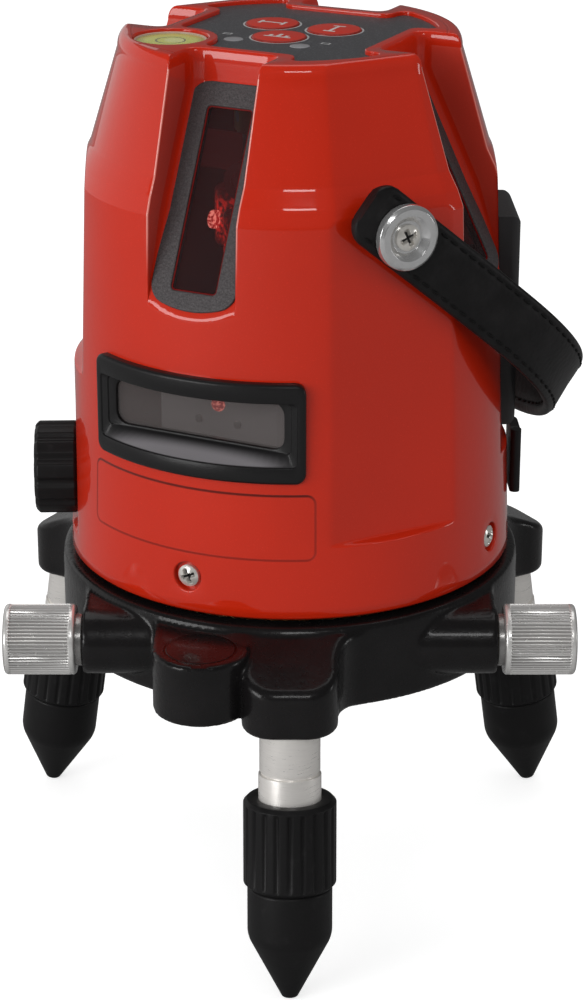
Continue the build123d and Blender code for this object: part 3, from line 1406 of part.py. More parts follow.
cover_far = Axis(origin=(0, 0, 0), direction=heading(BAY_AZIMUTH + 90) * COVER_SIDE)
cover_pin = heading(BAY_AZIMUTH) * (COVER_BACK + COVER_T / 2)
cover_pin -= heading(BAY_AZIMUTH + 90) * (COVER_SIDE * (COVER_W - COVER_T) / 2)
with BuildPart() as dc_cover:
    with BuildSketch(face_plane(BAY_AZIMUTH, COVER_BACK, SOCKET_Z)) as cover_plan:
        with Locations((COVER_SIDE * COVER_T / 4, 0)):
            Rectangle(COVER_W - COVER_T / 2, COVER_H)
        fillet(cover_plan.vertices().sort_by(cover_far)[2:], COVER_CORNER)
    extrude(amount=COVER_T)
    cover_front = dc_cover.faces().sort_by(Axis(origin=(0, 0, 0), direction=heading(BAY_AZIMUTH))).last
    fillet(cover_front.edges().sort_by(cover_far)[1:], BASE_EDGE)
    # Round knuckle along the hinge
    with BuildSketch(Plane.XY.offset(SOCKET_Z - COVER_H / 2)):
        with Locations((cover_pin.X, cover_pin.Y)):
            Circle(COVER_T / 2)
    extrude(amount=COVER_H)
save(dc_cover, "dc_cover")

# Gimbal: hanger on the plate, tilting ring, and the pendulum with its laser modules
pin_a = heading(GIMBAL_AZIMUTH)
with BuildPart() as gimbal_hanger:
    for turn in (0, 180):
        foot = heading(GIMBAL_AZIMUTH + turn) * HANGER_COLUMN_REACH
        with BuildSketch(Plane.XY.offset(PLATE_TOP)):
            with Locations((foot.X, foot.Y)):
                Circle(HANGER_COLUMN_R)
        extrude(amount=BRIDGE_Z + BRIDGE_T / 2 - PLATE_TOP)
    with BuildSketch(Plane.XY.offset(BRIDGE_Z)):
        with Locations(Location((0, 0, 0), (0, 0, GIMBAL_AZIMUTH - 90))):
            SlotCenterToCenter(2 * HANGER_COLUMN_REACH, HANGER_W)
    extrude(amount=BRIDGE_T)
    for turn in (0, 180):
        arm_in = GIMBAL_OUT + HANGER_GAP
        with BuildSketch(face_plane(GIMBAL_AZIMUTH + turn, arm_in, GIMBAL_Z)):
            with Locations((0, (BRIDGE_Z - GIMBAL_Z) / 2)):
                Rectangle(HANGER_W, BRIDGE_Z - GIMBAL_Z)
            Circle(HANGER_W / 2)
        extrude(amount=HANGER_T)
        with BuildSketch(face_plane(GIMBAL_AZIMUTH + turn, arm_in, GIMBAL_Z)):
            Circle(GIMBAL_PIN_R + RUN_FIT)
        extrude(amount=HANGER_T, mode=Mode.SUBTRACT)
save(gimbal_hanger, "gimbal_hanger")

with BuildPart() as gimbal_ring:
    with BuildSketch(Plane.XY.offset(GIMBAL_Z - GIMBAL_H / 2)):
        Circle(GIMBAL_OUT)
    extrude(amount=GIMBAL_H)
    with BuildSketch(face_plane(GIMBAL_AZIMUTH, 0, GIMBAL_Z)):
        Circle(GIMBAL_PIN_R)
    extrude(amount=GIMBAL_OUT + HANGER_GAP + HANGER_T - FACE_GAP, both=True)
    with BuildSketch(Plane.XY.offset(GIMBAL_Z - GIMBAL_H / 2)):
        Circle(GIMBAL_IN)
    extrude(amount=GIMBAL_H, mode=Mode.SUBTRACT)
    with BuildSketch(face_plane(GIMBAL_AZIMUTH + 90, 0, GIMBAL_Z)):
        Circle(GIMBAL_PIN_R + RUN_FIT)
    extrude(amount=GIMBAL_OUT, both=True, mode=Mode.SUBTRACT)
save(gimbal_ring, "gimbal_ring")

with BuildPart() as pendulum:
    stem_top = GIMBAL_Z + GIMBAL_H / 2
    with BuildSketch(Plane.XY.offset(MODULE_Z)):
        Circle(PENDULUM_HEAD_R)
    extrude(amount=stem_top - MODULE_Z)
    with BuildSketch(face_plane(GIMBAL_AZIMUTH + 90, 0, GIMBAL_Z)):
        Circle(GIMBAL_PIN_R)
    extrude(amount=GIMBAL_OUT - FACE_GAP, both=True)
    with BuildSketch(Plane.XY.offset(MODULE_Z - PENDULUM_BLOCK_H / 2)):
        RectangleRounded(PENDULUM_BLOCK_W, PENDULUM_BLOCK_W, HANGER_COLUMN_R)
    extrude(amount=PENDULUM_BLOCK_H)
    with BuildSketch(Plane.XY.offset(BOB_Z)):
        Circle(PENDULUM_STEM_R)
    extrude(amount=MODULE_Z - BOB_Z)
    with BuildSketch(Plane.XY.offset(LINE_MODULE_Z - PENDULUM_BLOCK_H / 2)):
        RectangleRounded(PENDULUM_BLOCK_W, PENDULUM_BLOCK_W, HANGER_COLUMN_R)
    extrude(amount=PENDULUM_BLOCK_H)
    with BuildSketch(Plane.XY.offset(BOB_Z)):
        Circle(BOB_R)
    extrude(amount=BOB_T)
    # Seats of the modules, and the plumb beam's bore
    for azimuth in (0, 90):
        with BuildSketch(face_plane(azimuth, 0, MODULE_Z)):
            Circle(MODULE_R + SEAT_FIT)
        extrude(amount=PENDULUM_BLOCK_W, both=True, mode=Mode.SUBTRACT)
    with BuildSketch(face_plane(0, 0, LINE_MODULE_Z)):
        Circle(LINE_MODULE_R + SEAT_FIT)
    extrude(amount=PENDULUM_BLOCK_W, both=True, mode=Mode.SUBTRACT)
    with BuildSketch(Plane.XY.offset(BOB_Z)):
        Circle(LENS_R)
    extrude(amount=BOB_T, mode=Mode.SUBTRACT)
    with BuildSketch(Plane.XY.offset(MODULE_Z - PENDULUM_STEM_R)):
        Circle(PENDULUM_STEM_R - TRAY_WALL)
    extrude(amount=2 * PENDULUM_STEM_R)
save(pendulum, "pendulum")

with BuildPart() as laser_modules:
    for azimuth in SLOT_AZIMUTHS:
        with BuildSketch(face_plane(azimuth, PENDULUM_STEM_R, MODULE_Z)):
            Circle(MODULE_R)
        extrude(amount=MODULE_END - PENDULUM_STEM_R)
        with BuildSketch(face_plane(azimuth, MODULE_END - LENS_STEP, MODULE_Z)):
            Circle(LENS_R)
        extrude(amount=LENS_STEP, mode=Mode.SUBTRACT)
    for azimuth in (0, 180):
        with BuildSketch(face_plane(azimuth, FACE_GAP, LINE_MODULE_Z)):
            Circle(LINE_MODULE_R)
        extrude(amount=LINE_MODULE_END - FACE_GAP)
        with BuildSketch(face_plane(azimuth, LINE_MODULE_END - LENS_STEP, LINE_MODULE_Z)):
            Circle(LENS_R)
        extrude(amount=LENS_STEP, mode=Mode.SUBTRACT)
save(laser_modules, "laser_modules")

with BuildPart() as magnet_block:
    with BuildSketch(Plane.XY.offset(PLATE_TOP)):
        Circle(MAGNET_OUT)
        Circle(MAGNET_IN, mode=Mode.SUBTRACT)
    extrude(amount=MAGNET_TOP - PLATE_TOP)
save(magnet_block, "magnet_block")

# Circuit board under the top, with a switch below each key
with BuildPart() as circuit_board:
    with BuildSketch(Plane.XY.offset(BOARD_Z)):
        Circle(BOARD_R)
        with Locations((vial.X, vial.Y)):
            Circle(VIAL_R + FACE_GAP, mode=Mode.SUBTRACT)
    extrude(amount=BOARD_T)
    with BuildSketch(Plane.XY.offset(BOARD_Z)):
        with Locations(*KEY_PLACES):
            Circle(SWITCH_R)
    extrude(amount=KEY_STEM_Z - KEY_TRAVEL - FACE_GAP - BOARD_Z)
save(circuit_board, "circuit_board")
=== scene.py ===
"""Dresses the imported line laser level: red head, black levelling base, leather strap, studio stage."""

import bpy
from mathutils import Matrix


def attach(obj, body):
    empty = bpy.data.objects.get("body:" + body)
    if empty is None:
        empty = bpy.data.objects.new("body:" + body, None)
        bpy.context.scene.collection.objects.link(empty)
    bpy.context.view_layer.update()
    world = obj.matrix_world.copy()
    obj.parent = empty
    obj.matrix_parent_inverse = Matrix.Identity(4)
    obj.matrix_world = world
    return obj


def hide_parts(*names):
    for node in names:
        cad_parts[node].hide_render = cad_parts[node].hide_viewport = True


bl_info = {
    "name": "Line laser level",
    "version": (1, 0, 0),
    "blender": (4, 5, 0),
    "location": "3D View > Sidebar > Laser level",
    "description": "Builds the finished surfaces of a line laser level around its packed frame",
    "category": "Object",
}

from functools import partial
from math import asin, atan2, cos, pi, radians, sin, sqrt, tan

import bpy
import numpy as np
from mathutils import Matrix, Vector, geometry

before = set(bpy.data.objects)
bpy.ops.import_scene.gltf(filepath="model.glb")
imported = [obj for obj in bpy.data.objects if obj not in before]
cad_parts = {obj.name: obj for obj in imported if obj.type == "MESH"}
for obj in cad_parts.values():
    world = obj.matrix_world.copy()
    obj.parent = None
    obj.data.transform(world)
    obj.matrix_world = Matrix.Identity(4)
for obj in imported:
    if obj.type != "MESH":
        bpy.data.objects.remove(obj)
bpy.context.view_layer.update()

# Lengths are millimetres and azimuths degrees, except where radians() says otherwise
MM = 0.001
UP = np.array((0.0, 0.0, 1.0))
SLOTS = {"front": 0, "right": 90, "back": 180, "left": -90}
LEGS = {"front": 0, "right": 120, "left": -120}

# Base: its turn under the head, casting, legs, knobs and boss
BASE_TURN = 26.3
STAND_H = 66.5
BASE_R = 55.6
LUG_REACH = 72.3
LUG_TOP = 17.6
LUG_TIP_Z = 10.2
LEG_REACH = 74.3
LEAN = radians(9.0)
KNOB_OUT = 40.0
KNOB_Z = 9.5
HOUSING_R = 8.0
HOUSING_HALF = 48.4
BOSS_SIDE = -20.25
BOSS_OUT = 61.0
BOSS_R = 11.0
PLUG_OUT = 61.8
PLUG_GROOVE_R = 8.1

# Outline of the head: radius and height of its corners, flat top, rolled foot
SHELL_LOW = (53.6, 20.3)
WAIST = (50.03, 114.2)
SHOULDER = (47.2, 117.8)
CROWN = (39.8, 142.0)
TOP_Z = 145.5
TOP_GROOVE_R = 36.4
FOOT_Z = 20.9
FOOT_ROLL = 0.6

# Key panel: floor of its recess, disc, notches at the slots, hollow round the vial
PANEL_Z = 143.9
PANEL_R = 34.3
PANEL_BACK = 24.5
PANEL_HALF = 14.5
PANEL_NOOK_R = 3.0
PANEL_CORNER_R = 2.0
PANEL_HOLLOW_R = 10.85

# Slots: half width, upright back wall, the slope from its top to its foot, and the unit vector down it
SLOT_HALF = 10.9
SLOT_BACK = 27.5
SLOT_TOP = 138.5
SLOT_FOOT = (49.5, 94.1)
SLOT_SINK = 0.6
SLOT_NOOK_R = 3.5
SLOPE = np.array((SLOT_FOOT[0] - SLOT_BACK, SLOT_FOOT[1] - SLOT_TOP))
SLOPE = SLOPE / np.linalg.norm(SLOPE)
FRAME_END = 52.6

# Line window, and the laser barrels and lenses behind the panes
LINE_R = 53.64
LINE_HALF = LINE_R * radians(30.3)
LINE_Z = (53.4, 77.1)
BARREL_OUT = 16.0
BARREL_SIDE = -3.5
EYE_SIDE = 2.8
EYE_Z = 98.5

# Openings in the head's wall: half width, lowest and highest height
LINE_OPEN = (25.4, 56.5, 74.0)
SLOT_OPEN = (7.0, 94.6, 134.4)

# Strap: pivots, legs, tight bends, half width and half thickness, sag at its far end, stitches
STRAP_AZ = 54.6
STRAP_Z = 109.4
STRAP_DROP = radians(39.5)
STRAP_REACH = 51.43
STRAP_LEG = 39.3
STRAP_BEND = 40.0
STRAP_TURN = radians(42)
STRAP_TAIL = -11.9
STRAP_HALF = 7.4
STRAP_THICK = 1.5
STRAP_END = 84.4
SAG = 3.9
SAG_LOWER_EDGE = 1.6
STITCH_PITCH = 3.2
STITCH_SIDE = 5.6
STITCH_UP = 1.36

# Lock knob, and the head's flats: azimuth and lowest height, radius and height of their line's ends
LOCK_AZ = -62
LOCK_Z = 38.3
LOCK_FLAT = 51.516
FLATS = ((STRAP_AZ, 38.5), (118, 47.0), (STRAP_AZ - 180, 38.5), (LOCK_AZ, 67.8))
FLAT_LOW = (50.3, 38.5)
FLAT_HIGH = (47.4, 117.8)
FLAT_FADE = 0.9
STRAP_FLAT_SHARE = 0.958
LOCK_FLAT_Z = (25.6, 67.6)
LOCK_RAMP_Z = 58.5
LOCK_RAMP = 0.031

# Screws, vial, keys, lamp windows and label recess
SCREW_Z = 28.8
SCREW_SEAT = 51.78
SCREW_TILTS = [radians(25 + 37 * index) for index in range(len(SLOTS))]
PIVOT_SEAT = 54.13
PIVOT_TILT = 0.4
POCKET_R = 3.85
VIAL_AZ = -46
VIAL_REACH = 28.5
VIAL_R = 7.75
VIAL_LOW = 138.0
DOME_RISE = 0.8
DOME_Z = 145.45
VIAL_BORE_R = 8.95
VIAL_BORE_Z = 141.0
KEYS = {"horizontal": (-8.0, 7.0), "vertical": (8.0, 7.0), "receiver": (0.0, -5.6)}
LAMPS = ((-8.4, -12.0), (8.4, -12.0))
LABEL_R = 52.9
LABEL_Z = 42.65
LABEL_HALF = (28.1, 5.75)
LABEL_CORNER = 2.0


def heading(azimuth):
    """Level unit vector at an azimuth, counted anticlockwise from the head's front."""
    turn = radians(azimuth - 90)
    return np.array((cos(turn), sin(turn), 0.0))


VIAL = heading(VIAL_AZ) * VIAL_REACH
PLUG = heading(BASE_TURN + 90) * BOSS_SIDE + heading(BASE_TURN) * PLUG_OUT


def math_node(operation):
    """Method of a Sock that makes a Math node of it and other values."""
    return lambda self, *others: self.math(operation, *others)


class Sock:
    """A shader socket in an expression: operators on it add Math nodes to its tree."""

    def __init__(self, tree, socket):
        self.tree = tree
        self.socket = socket

    def math(self, operation, *others):
        """Math node of this value and others."""
        return self.tree.node("ShaderNodeMath", {"operation": operation}, dict(enumerate((self, *others))))

    __add__ = math_node("ADD")
    __sub__ = math_node("SUBTRACT")
    __mul__ = math_node("MULTIPLY")
    __lt__ = math_node("LESS_THAN")
    __gt__ = math_node("GREATER_THAN")
    __abs__ = math_node("ABSOLUTE")
    either = math_node("MAXIMUM")
    both = math_node("MINIMUM")

    def far(self, other):
        """Length of the vector that has this value and another for its sides."""
        return (self * self + other * other).math("SQRT")

    def step(self, low, high):
        """Smooth step from 0 at low to 1 at high."""
        settings = {"interpolation_type": "SMOOTHSTEP"}
        sockets = {"Value": self, "From Min": low, "From Max": high}
        return self.tree.node("ShaderNodeMapRange", settings, sockets)


class Finish:
    """One procedural material or world: its tree, its shader and a way to add any node."""

    def __init__(self, name, kind="materials", shader="Principled BSDF"):
        self.material = getattr(bpy.data, kind).new(name)
        self.material.use_nodes = True
        self.nodes = self.material.node_tree.nodes
        self.links = self.material.node_tree.links
        self.shader = self.nodes[shader]

    def node(self, kind, settings=None, sockets=None, output=0):
        """Node of any type: its settings first, then the value or link of each socket."""
        made = self.nodes.new(kind)
        for key, value in (settings or {}).items():
            setattr(made, key, value)
        for key, value in (sockets or {}).items():
            self.feed(made.inputs[key], value)
        return Sock(self, made.outputs[output])

    def feed(self, socket, value):
        """Link an expression to a socket, or set a plain value on it."""
        if isinstance(value, Sock):
            self.links.new(value.socket, socket)
        elif isinstance(value, tuple) and len(value) == 3 and socket.type == "RGBA":
            socket.default_value = (*value, 1.0)
        else:
            socket.default_value = value

    def set(self, **values):
        """Sockets of the shader by name, with underscores for spaces."""
        for key, value in values.items():
            self.feed(self.shader.inputs[key.replace("_", " ")], value)
        return self

    def paint(self, factor, low, high, **values):
        """Base colour between two colours, and other sockets of the shader."""
        return self.set(Base_Color=self.mix(factor, low, high), **values)

    def place(self):
        """Object coordinates."""
        return self.node("ShaderNodeTexCoord", output="Object")

    def axes(self, middle=(0.0, 0.0)):
        """The three numbers of the Object coordinates, the first two counted from a middle."""
        parts = self.nodes.new("ShaderNodeSeparateXYZ")
        self.feed(parts.inputs[0], self.place())
        x, y, z = (Sock(self, socket) for socket in parts.outputs)
        return (x - middle[0] * MM, y - middle[1] * MM, z) if any(middle) else (x, y, z)

    def noise(self, scale, detail=2.0, rough=0.5, stretch=None):
        """Noise value; scale counts bumps in a metre, stretch squeezes each axis."""
        where = self.place()
        if stretch:
            where = self.node("ShaderNodeMapping", {}, {"Vector": where, "Scale": stretch})
        sockets = {"Vector": where, "Scale": scale, "Detail": detail, "Roughness": rough}
        return self.node("ShaderNodeTexNoise", {}, sockets)

    def cells(self, scale, feature="F1"):
        """Distance in a Voronoi pattern; scale counts cells in a metre."""
        sockets = {"Vector": self.place(), "Scale": scale}
        return self.node("ShaderNodeTexVoronoi", {"feature": feature}, sockets)

    def mix(self, factor, low, high):
        """Colour between two colours."""
        made = self.nodes.new("ShaderNodeMix")
        made.data_type = "RGBA"
        for index, value in ((0, factor), (6, low), (7, high)):
            self.feed(made.inputs[index], value)
        return Sock(self, made.outputs[2])

    def bumped(self, height, strength, distance):
        """The finish with its normal bumped by a height."""
        sockets = {"Height": height, "Strength": strength, "Distance": distance}
        return self.set(Normal=self.node("ShaderNodeBump", {}, sockets))


# Numpy surfaces


def rounded(points, radii, steps=6):
    """Polyline with round corners: each arc is tangent to both runs and starts r / tan(half angle) away."""
    points = np.asarray(points, float)
    out = [points[:1]]
    for corner, before, after, radius in zip(points[1:-1], points[:-2], points[2:], radii):
        a = (before - corner) / np.linalg.norm(before - corner)
        b = (after - corner) / np.linalg.norm(after - corner)
        half = np.arccos(np.clip(a @ b, -1, 1)) / 2
        if radius <= 0 or half > pi / 2 - 1e-3:
            out.append(corner[None])
            continue
        centre = corner + (a + b) / np.linalg.norm(a + b) * radius / sin(half)
        start = corner + a * radius / tan(half) - centre
        end = corner + b * radius / tan(half) - centre
        turn = pi - 2 * half
        t = np.linspace(0, 1, steps)[:, None]
        out.append(centre + (np.sin((1 - t) * turn) * start + np.sin(t * turn) * end) / sin(turn))
    out.append(points[-1:])
    return np.concatenate(out)


def lathe(profile, turns=96, wave=None):
    """Profile (r, h) carried round Z: (r cos a, r sin a, h), with a wave of (r, h, a) added to r."""
    profile = np.asarray(profile, float)
    angle = np.arange(turns) * (2 * pi / turns)
    radius = np.repeat(profile[:, :1], turns, axis=1)
    height = np.repeat(profile[:, 1:2], turns, axis=1)
    if wave is not None:
        radius = radius + wave(radius, height, angle[None, :])
    return np.stack((radius * np.cos(angle), radius * np.sin(angle), height), axis=-1)


def box_loop(half_x, low_y, high_y, corner, count=16):
    """Closed loop of a rectangle with round corners, the same number of points on each run, anticlockwise."""
    low = np.array((-half_x + corner, low_y + corner))
    high = np.array((half_x - corner, high_y - corner))
    quarter = np.linspace(0, pi / 2, 6)
    centres = ((high[0], low[1]), (high[0], high[1]), (low[0], high[1]), (low[0], low[1]))
    starts = (-pi / 2, 0.0, pi / 2, pi)
    parts = []
    for index, ((x, y), start) in enumerate(zip(centres, starts)):
        arc = np.stack((x + corner * np.cos(start + quarter), y + corner * np.sin(start + quarter)), axis=-1)
        following = (index + 1) % 4
        (next_x, next_y), turn = centres[following], starts[following]
        lead = np.array((next_x + corner * cos(turn), next_y + corner * sin(turn)))
        parts += [arc, arc[-1] + (lead - arc[-1]) * np.linspace(0, 1, count + 2)[1:-1, None]]
    return np.concatenate(parts)


def circle(count):
    """Points of the unit circle."""
    turn = np.arange(count) * (2 * pi / count)
    return np.stack((np.cos(turn), np.sin(turn)), -1)


def loop_normals(loop):
    """Outward unit normals of an anticlockwise closed loop, from its neighbours' chord turned a quarter."""
    chord = np.roll(loop, -1, axis=0) - np.roll(loop, 1, axis=0)
    normal = np.stack((chord[:, 1], -chord[:, 0]), axis=-1)
    return normal / np.maximum(np.linalg.norm(normal, axis=1, keepdims=True), 1e-9)


def at_height(loop, height):
    """Points of a flat loop raised to a height."""
    return np.concatenate((loop, np.full((len(loop), 1), height)), axis=1)


def strips(loop, rows):
    """Copies of a loop for rows of (away, height): loop + normal * away, raised to the height."""
    out = loop_normals(loop)
    return [at_height(loop + out * away, height) for away, height in rows]


def slab(loop, top, low):
    """Flat plate over a loop of (x, y), between two heights, its faces drawn in to the middle."""
    middle = np.broadcast_to(loop.mean(axis=0), loop.shape)
    return np.stack([at_height(*row) for row in ((middle, low), (loop, low), (loop, top), (middle, top))])


def set_in(grid, origin, x, y, z):
    """Local points put in the head's frame: origin plus each coordinate along its own unit vector."""
    return origin + grid[..., :1] * x + grid[..., 1:2] * y + grid[..., 2:3] * z


def facing(grid, azimuth, across=0.0, up=0.0):
    """Local points with x sideways, y up and z out along an azimuth, moved across and up."""
    side = heading(azimuth + 90)
    return set_in(grid, side * across + UP * up, side, UP, heading(azimuth))


def ease(t):
    """Smooth step of a number from 0 to 1: t^2 (3 - 2 t)."""
    return t * t * (3 - 2 * t)


def grid_faces(rows, columns, start=0):
    """Corner indices of the quads of a grid whose columns close round."""
    i, j = np.meshgrid(np.arange(rows - 1), np.arange(columns), indexing="ij")
    k = (j + 1) % columns
    corners = (i * columns + j, i * columns + k, (i + 1) * columns + k, (i + 1) * columns + j)
    return start + np.stack(corners, axis=-1).reshape(-1, 4)


def weld(points, quads):
    """Merge points that coincide and turn quads with a repeated corner into triangles."""
    _, first, back = np.unique(np.round(points / 1e-4), axis=0, return_index=True, return_inverse=True)
    quads = back.reshape(-1)[quads]
    double = quads == np.roll(quads, -1, axis=1)
    times = double.sum(axis=1)
    triangles = quads[times == 1][~double[times == 1]].reshape(-1, 3)
    return points[first], quads[times == 0], triangles


def piece(name, grids, kind, body, replaces=(), closed=True, sharp=38.0):
    """Mesh object of grids that close round, welded to one form."""
    points = []
    quads = []
    start = 0
    for grid in grids:
        points.append(grid.reshape(-1, 3))
        quads.append(grid_faces(*grid.shape[:2], start))
        start += len(points[-1])
    form = weld(np.concatenate(points), np.concatenate(quads))
    shape(name, form, kind, body, replaces, closed, sharp)


def shape(name, form, kind, body=None, replaces=(), closed=True, sharp=38.0):
    """Mesh object of points, quads and triangles: faced outwards, shaded smooth, riding on its body."""
    points, quads, triangles = form
    if closed:
        fan = np.concatenate((triangles, quads[:, (0, 1, 2)], quads[:, (0, 2, 3)]))
        a, b, c = (points[fan[:, k]] for k in range(3))
        if np.einsum("ij,ij->i", a, np.cross(b, c)).sum() < 0:
            quads = quads[:, ::-1]
            triangles = triangles[:, ::-1]
    mesh = bpy.data.meshes.new(name)
    mesh.vertices.add(len(points))
    mesh.vertices.foreach_set("co", np.ascontiguousarray(points * MM, np.float32).ravel())
    corners = np.concatenate((quads.ravel(), triangles.ravel())).astype(np.int32)
    starts = np.concatenate((np.arange(len(quads)) * 4, len(quads) * 4 + np.arange(len(triangles)) * 3))
    mesh.loops.add(len(corners))
    mesh.loops.foreach_set("vertex_index", corners)
    mesh.polygons.add(len(starts))
    mesh.polygons.foreach_set("loop_start", starts.astype(np.int32))
    mesh.update(calc_edges=True)
    mesh.validate()
    mesh.shade_smooth()
    if sharp:
        mesh.set_sharp_from_angle(angle=radians(sharp))
    obj = bpy.data.objects.new(name, mesh)
    bpy.context.scene.collection.objects.link(obj)
    obj.data.materials.append(finish(kind))
    if body:
        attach(obj, body)
        if replaces:
            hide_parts(*replaces)
    return obj


def clothe(node, kind):
    """Give a carried-over CAD node a finish."""
    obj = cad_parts[node]
    obj.data.materials.clear()
    obj.data.materials.append(finish(kind))


# Sizes and colours that a user may change


def colour(name, words, value):
    """Colour property."""
    return bpy.props.FloatVectorProperty(name=name, description=words, subtype="COLOR", size=3, default=value)


def length(name, words, value):
    """Length property in metres."""
    unit = {"subtype": "DISTANCE", "unit": "LENGTH"}
    return bpy.props.FloatProperty(name=name, description=words, default=value * MM, **unit)


class LevelFinishes(bpy.types.PropertyGroup):
    """Colours of the level's finishes."""

    red: colour("Red paint", "Gloss paint of the head", (0.52, 0.018, 0.003))
    cast: colour("Black casting", "Semi-gloss paint of the base", (0.005, 0.0045, 0.0047))
    plastic: colour("Black plastic", "Collars, feet, knob and frames", (0.0075, 0.0072, 0.0075))
    leather: colour("Leather", "Carrying strap", (0.0055, 0.005, 0.0052))
    overlay: colour("Key panel", "Printed film round the keys", (0.05, 0.05, 0.054))
    vial: colour("Vial", "Liquid of the bubble vial", (0.62, 0.66, 0.09))


class LevelSizes(bpy.types.PropertyGroup):
    """Sizes of edges and trims."""

    corner: length("Slot corner", "Rounding of the lobes beside each slot", 0.5)
    rim: length("Rim", "Rounding of the head's top edge", 1.9)
    flute: length("Collar flute", "Depth of the flutes of the levelling collars", 0.55)
    knurl: length("Knurl", "Depth of the knobs' knurling", 0.42)
    stitch: length("Stitch", "Length of a stitch of the strap", 2.4)


def size(name):
    """A size in force, in millimetres."""
    return getattr(bpy.context.scene.level_sizes, name) / MM


def tint(name, times=1.0):
    """A colour in force, times a number."""
    return tuple(c * times for c in getattr(bpy.context.scene.level_finishes, name))


# Finishes; their lengths are metres, like the Object coordinates

MADE = {}


def finish(kind):
    """The material of a kind, made on first use."""
    if kind not in MADE:
        MADE[kind] = RECIPES[kind]().material
    return MADE[kind]


def red_paint():
    """Gloss red paint over a faint orange peel, with a label recess, a fine groove round the top, a painted
    shade line round the label and painted highlights along the slot edges.
    """
    f = Finish("gloss_red_paint")
    x, y, z = f.axes()
    tone = f.noise(18.0, 3.0).step(0.35, 0.7)
    fleck = f.noise(3000.0, 1.0).step(0.6, 0.8)
    pale = tuple(min(c * 1.5 + 0.01, 1.0) for c in tint("red"))
    paint = f.mix(fleck * 0.25, f.mix(tone, tint("red", 0.92), tint("red")), pale)
    # Distance past the label's outline, over the wall
    arc = x.math("ARCTAN2", y * -1.0) * (LABEL_R * MM)
    wide = (abs(arc) - LABEL_HALF[0] * MM).either(0.0)
    tall = (abs(z - LABEL_Z * MM) - LABEL_HALF[1] * MM).either(0.0)
    off = wide.far(tall) - LABEL_CORNER * MM
    label = off.step(-0.00035, 0.00035)
    # Painted shade: a thin dark line mixed into the base colour round the label's outline, on the front half
    # only
    line = abs(off).step(0.00045, 0.0001) * (y < 0.0)
    paint = f.mix(line * 0.4, paint, tint("red", 0.3))
    # Painted highlight: a pale pink line mixed into the base colour along the edges beside the slots, above
    # the shoulder
    brink = (SLOT_HALF + 0.26) * MM
    across = abs(abs(x) - brink).step(0.0003, 0.00012) * (abs(y) > 0.02)
    along = abs(abs(y) - brink).step(0.0003, 0.00012) * (abs(x) > 0.02)
    edge = (across + along) * z.step(0.097, 0.111) * (z < 0.1425)
    # Painted highlight: half of the pale pink goes where the edge mask is set
    f.paint(edge * 0.5, paint, (0.8, 0.42, 0.36), Coat_Weight=1.0, Coat_Roughness=0.03)
    groove = abs(x.far(y) - TOP_GROOVE_R * MM).step(0.00034, 0.0001) * (z > 0.1452)
    f.set(Roughness=f.noise(60.0) * 0.08 + 0.3, Specular_IOR_Level=0.08)
    return f.bumped(f.noise(420.0) * 0.03 + label * 1.0 - groove * 0.25, 1.0, 0.001)


def black_cast():
    """Semi-gloss black paint over a fine cast grain, with a groove round the boss's plug, bumped in and
    darkened as painted shade.
    """
    f = Finish("black_cast_paint")
    grain = f.noise(700.0, 3.0, 0.6)
    soft = f.noise(90.0)
    x, y, z = f.axes(PLUG[:2])
    groove = abs(x.far(y) - PLUG_GROOVE_R * MM).step(0.00032, 0.00014) * (z > 0.0163)
    paint = f.mix(soft.step(0.3, 0.7), tint("cast"), tint("cast", 1.5))
    # Painted shade: the groove round the plug is darkened in the base colour
    f.paint(groove, paint, tint("cast", 0.2), Roughness=grain * 0.14 + 0.22, Specular_IOR_Level=0.22)
    f.set(Coat_Weight=0.25, Coat_Roughness=0.08)
    return f.bumped(grain * 0.16 + soft * 0.06 - groove * 0.6, 1.0, 0.0006)


def grained(name, lift, patches, pale, rough, gloss):
    """Satin black plastic with a fine spark-eroded grain and soft patches of a paler tone."""
    f = Finish(name)
    grain = f.noise(1500.0, 2.0, 0.6)
    f.paint(f.noise(patches).step(0.3, 0.7), tint("plastic", lift), tint("plastic", lift * pale))
    f.set(Roughness=grain * 0.12 + rough, Specular_IOR_Level=gloss)
    return f.bumped(grain, 0.12, 0.0003)


def line_frame():
    """Black plastic of the line window, with a paler grey mixed onto the ledge under its pane as a painted
    reflection.
    """
    f = Finish("line_frame_plastic")
    grain = f.noise(1500.0, 2.0, 0.6)
    x, y, z = f.axes()
    # Painted reflection: a paler grey on the ledge under the pane, brightest towards its front
    sill_painted_sheen = (z < 0.0601).both(z > 0.0575) * x.far(y).step(0.0533, 0.0528) * y.step(-0.0468, -0.0505)
    f.paint(sill_painted_sheen, f.mix(grain, tint("plastic"), tint("plastic", 1.35)), (0.2, 0.19, 0.2))
    f.set(Roughness=grain * 0.12 + 0.26, Specular_IOR_Level=0.3)
    return f.bumped(grain, 0.1, 0.0003)


def foot_plastic():
    """Matt black plastic of collars and feet, a little scuffed."""
    f = Finish("matt_black_foot")
    scuff = f.noise(260.0, 4.0, 0.65).step(0.55, 0.8)
    f.paint(scuff, tint("plastic"), tint("plastic", 1.9))
    f.set(Roughness=scuff * 0.1 + 0.4, Specular_IOR_Level=0.22)
    return f.bumped(f.noise(900.0), 0.1, 0.0003)


def bezel_plastic():
    """Dark grey plastic with a sandblasted texture."""
    f = Finish("textured_grey_bezel")
    grain = f.cells(1400.0)
    f.paint(f.noise(3600.0).step(0.35, 0.65), (0.034, 0.03, 0.031), (0.064, 0.056, 0.058))
    f.set(Roughness=grain * 0.2 + 0.42, Specular_IOR_Level=0.4)
    return f.bumped(grain, 0.25, 0.0003)


def turned(name, base, rough, rings, metal=0.65, stretch=(1.0, 1.0, 1.0)):
    """Turned metal with fine tool lines across the given stretch."""
    f = Finish(name)
    lines = f.noise(rings, 3.0, 0.7, stretch)
    f.paint(lines.step(0.3, 0.7), tuple(c * 0.94 for c in base), base, Metallic=metal)
    return f.set(Roughness=lines * 0.1 + rough).bumped(lines, 0.012, 0.0001)


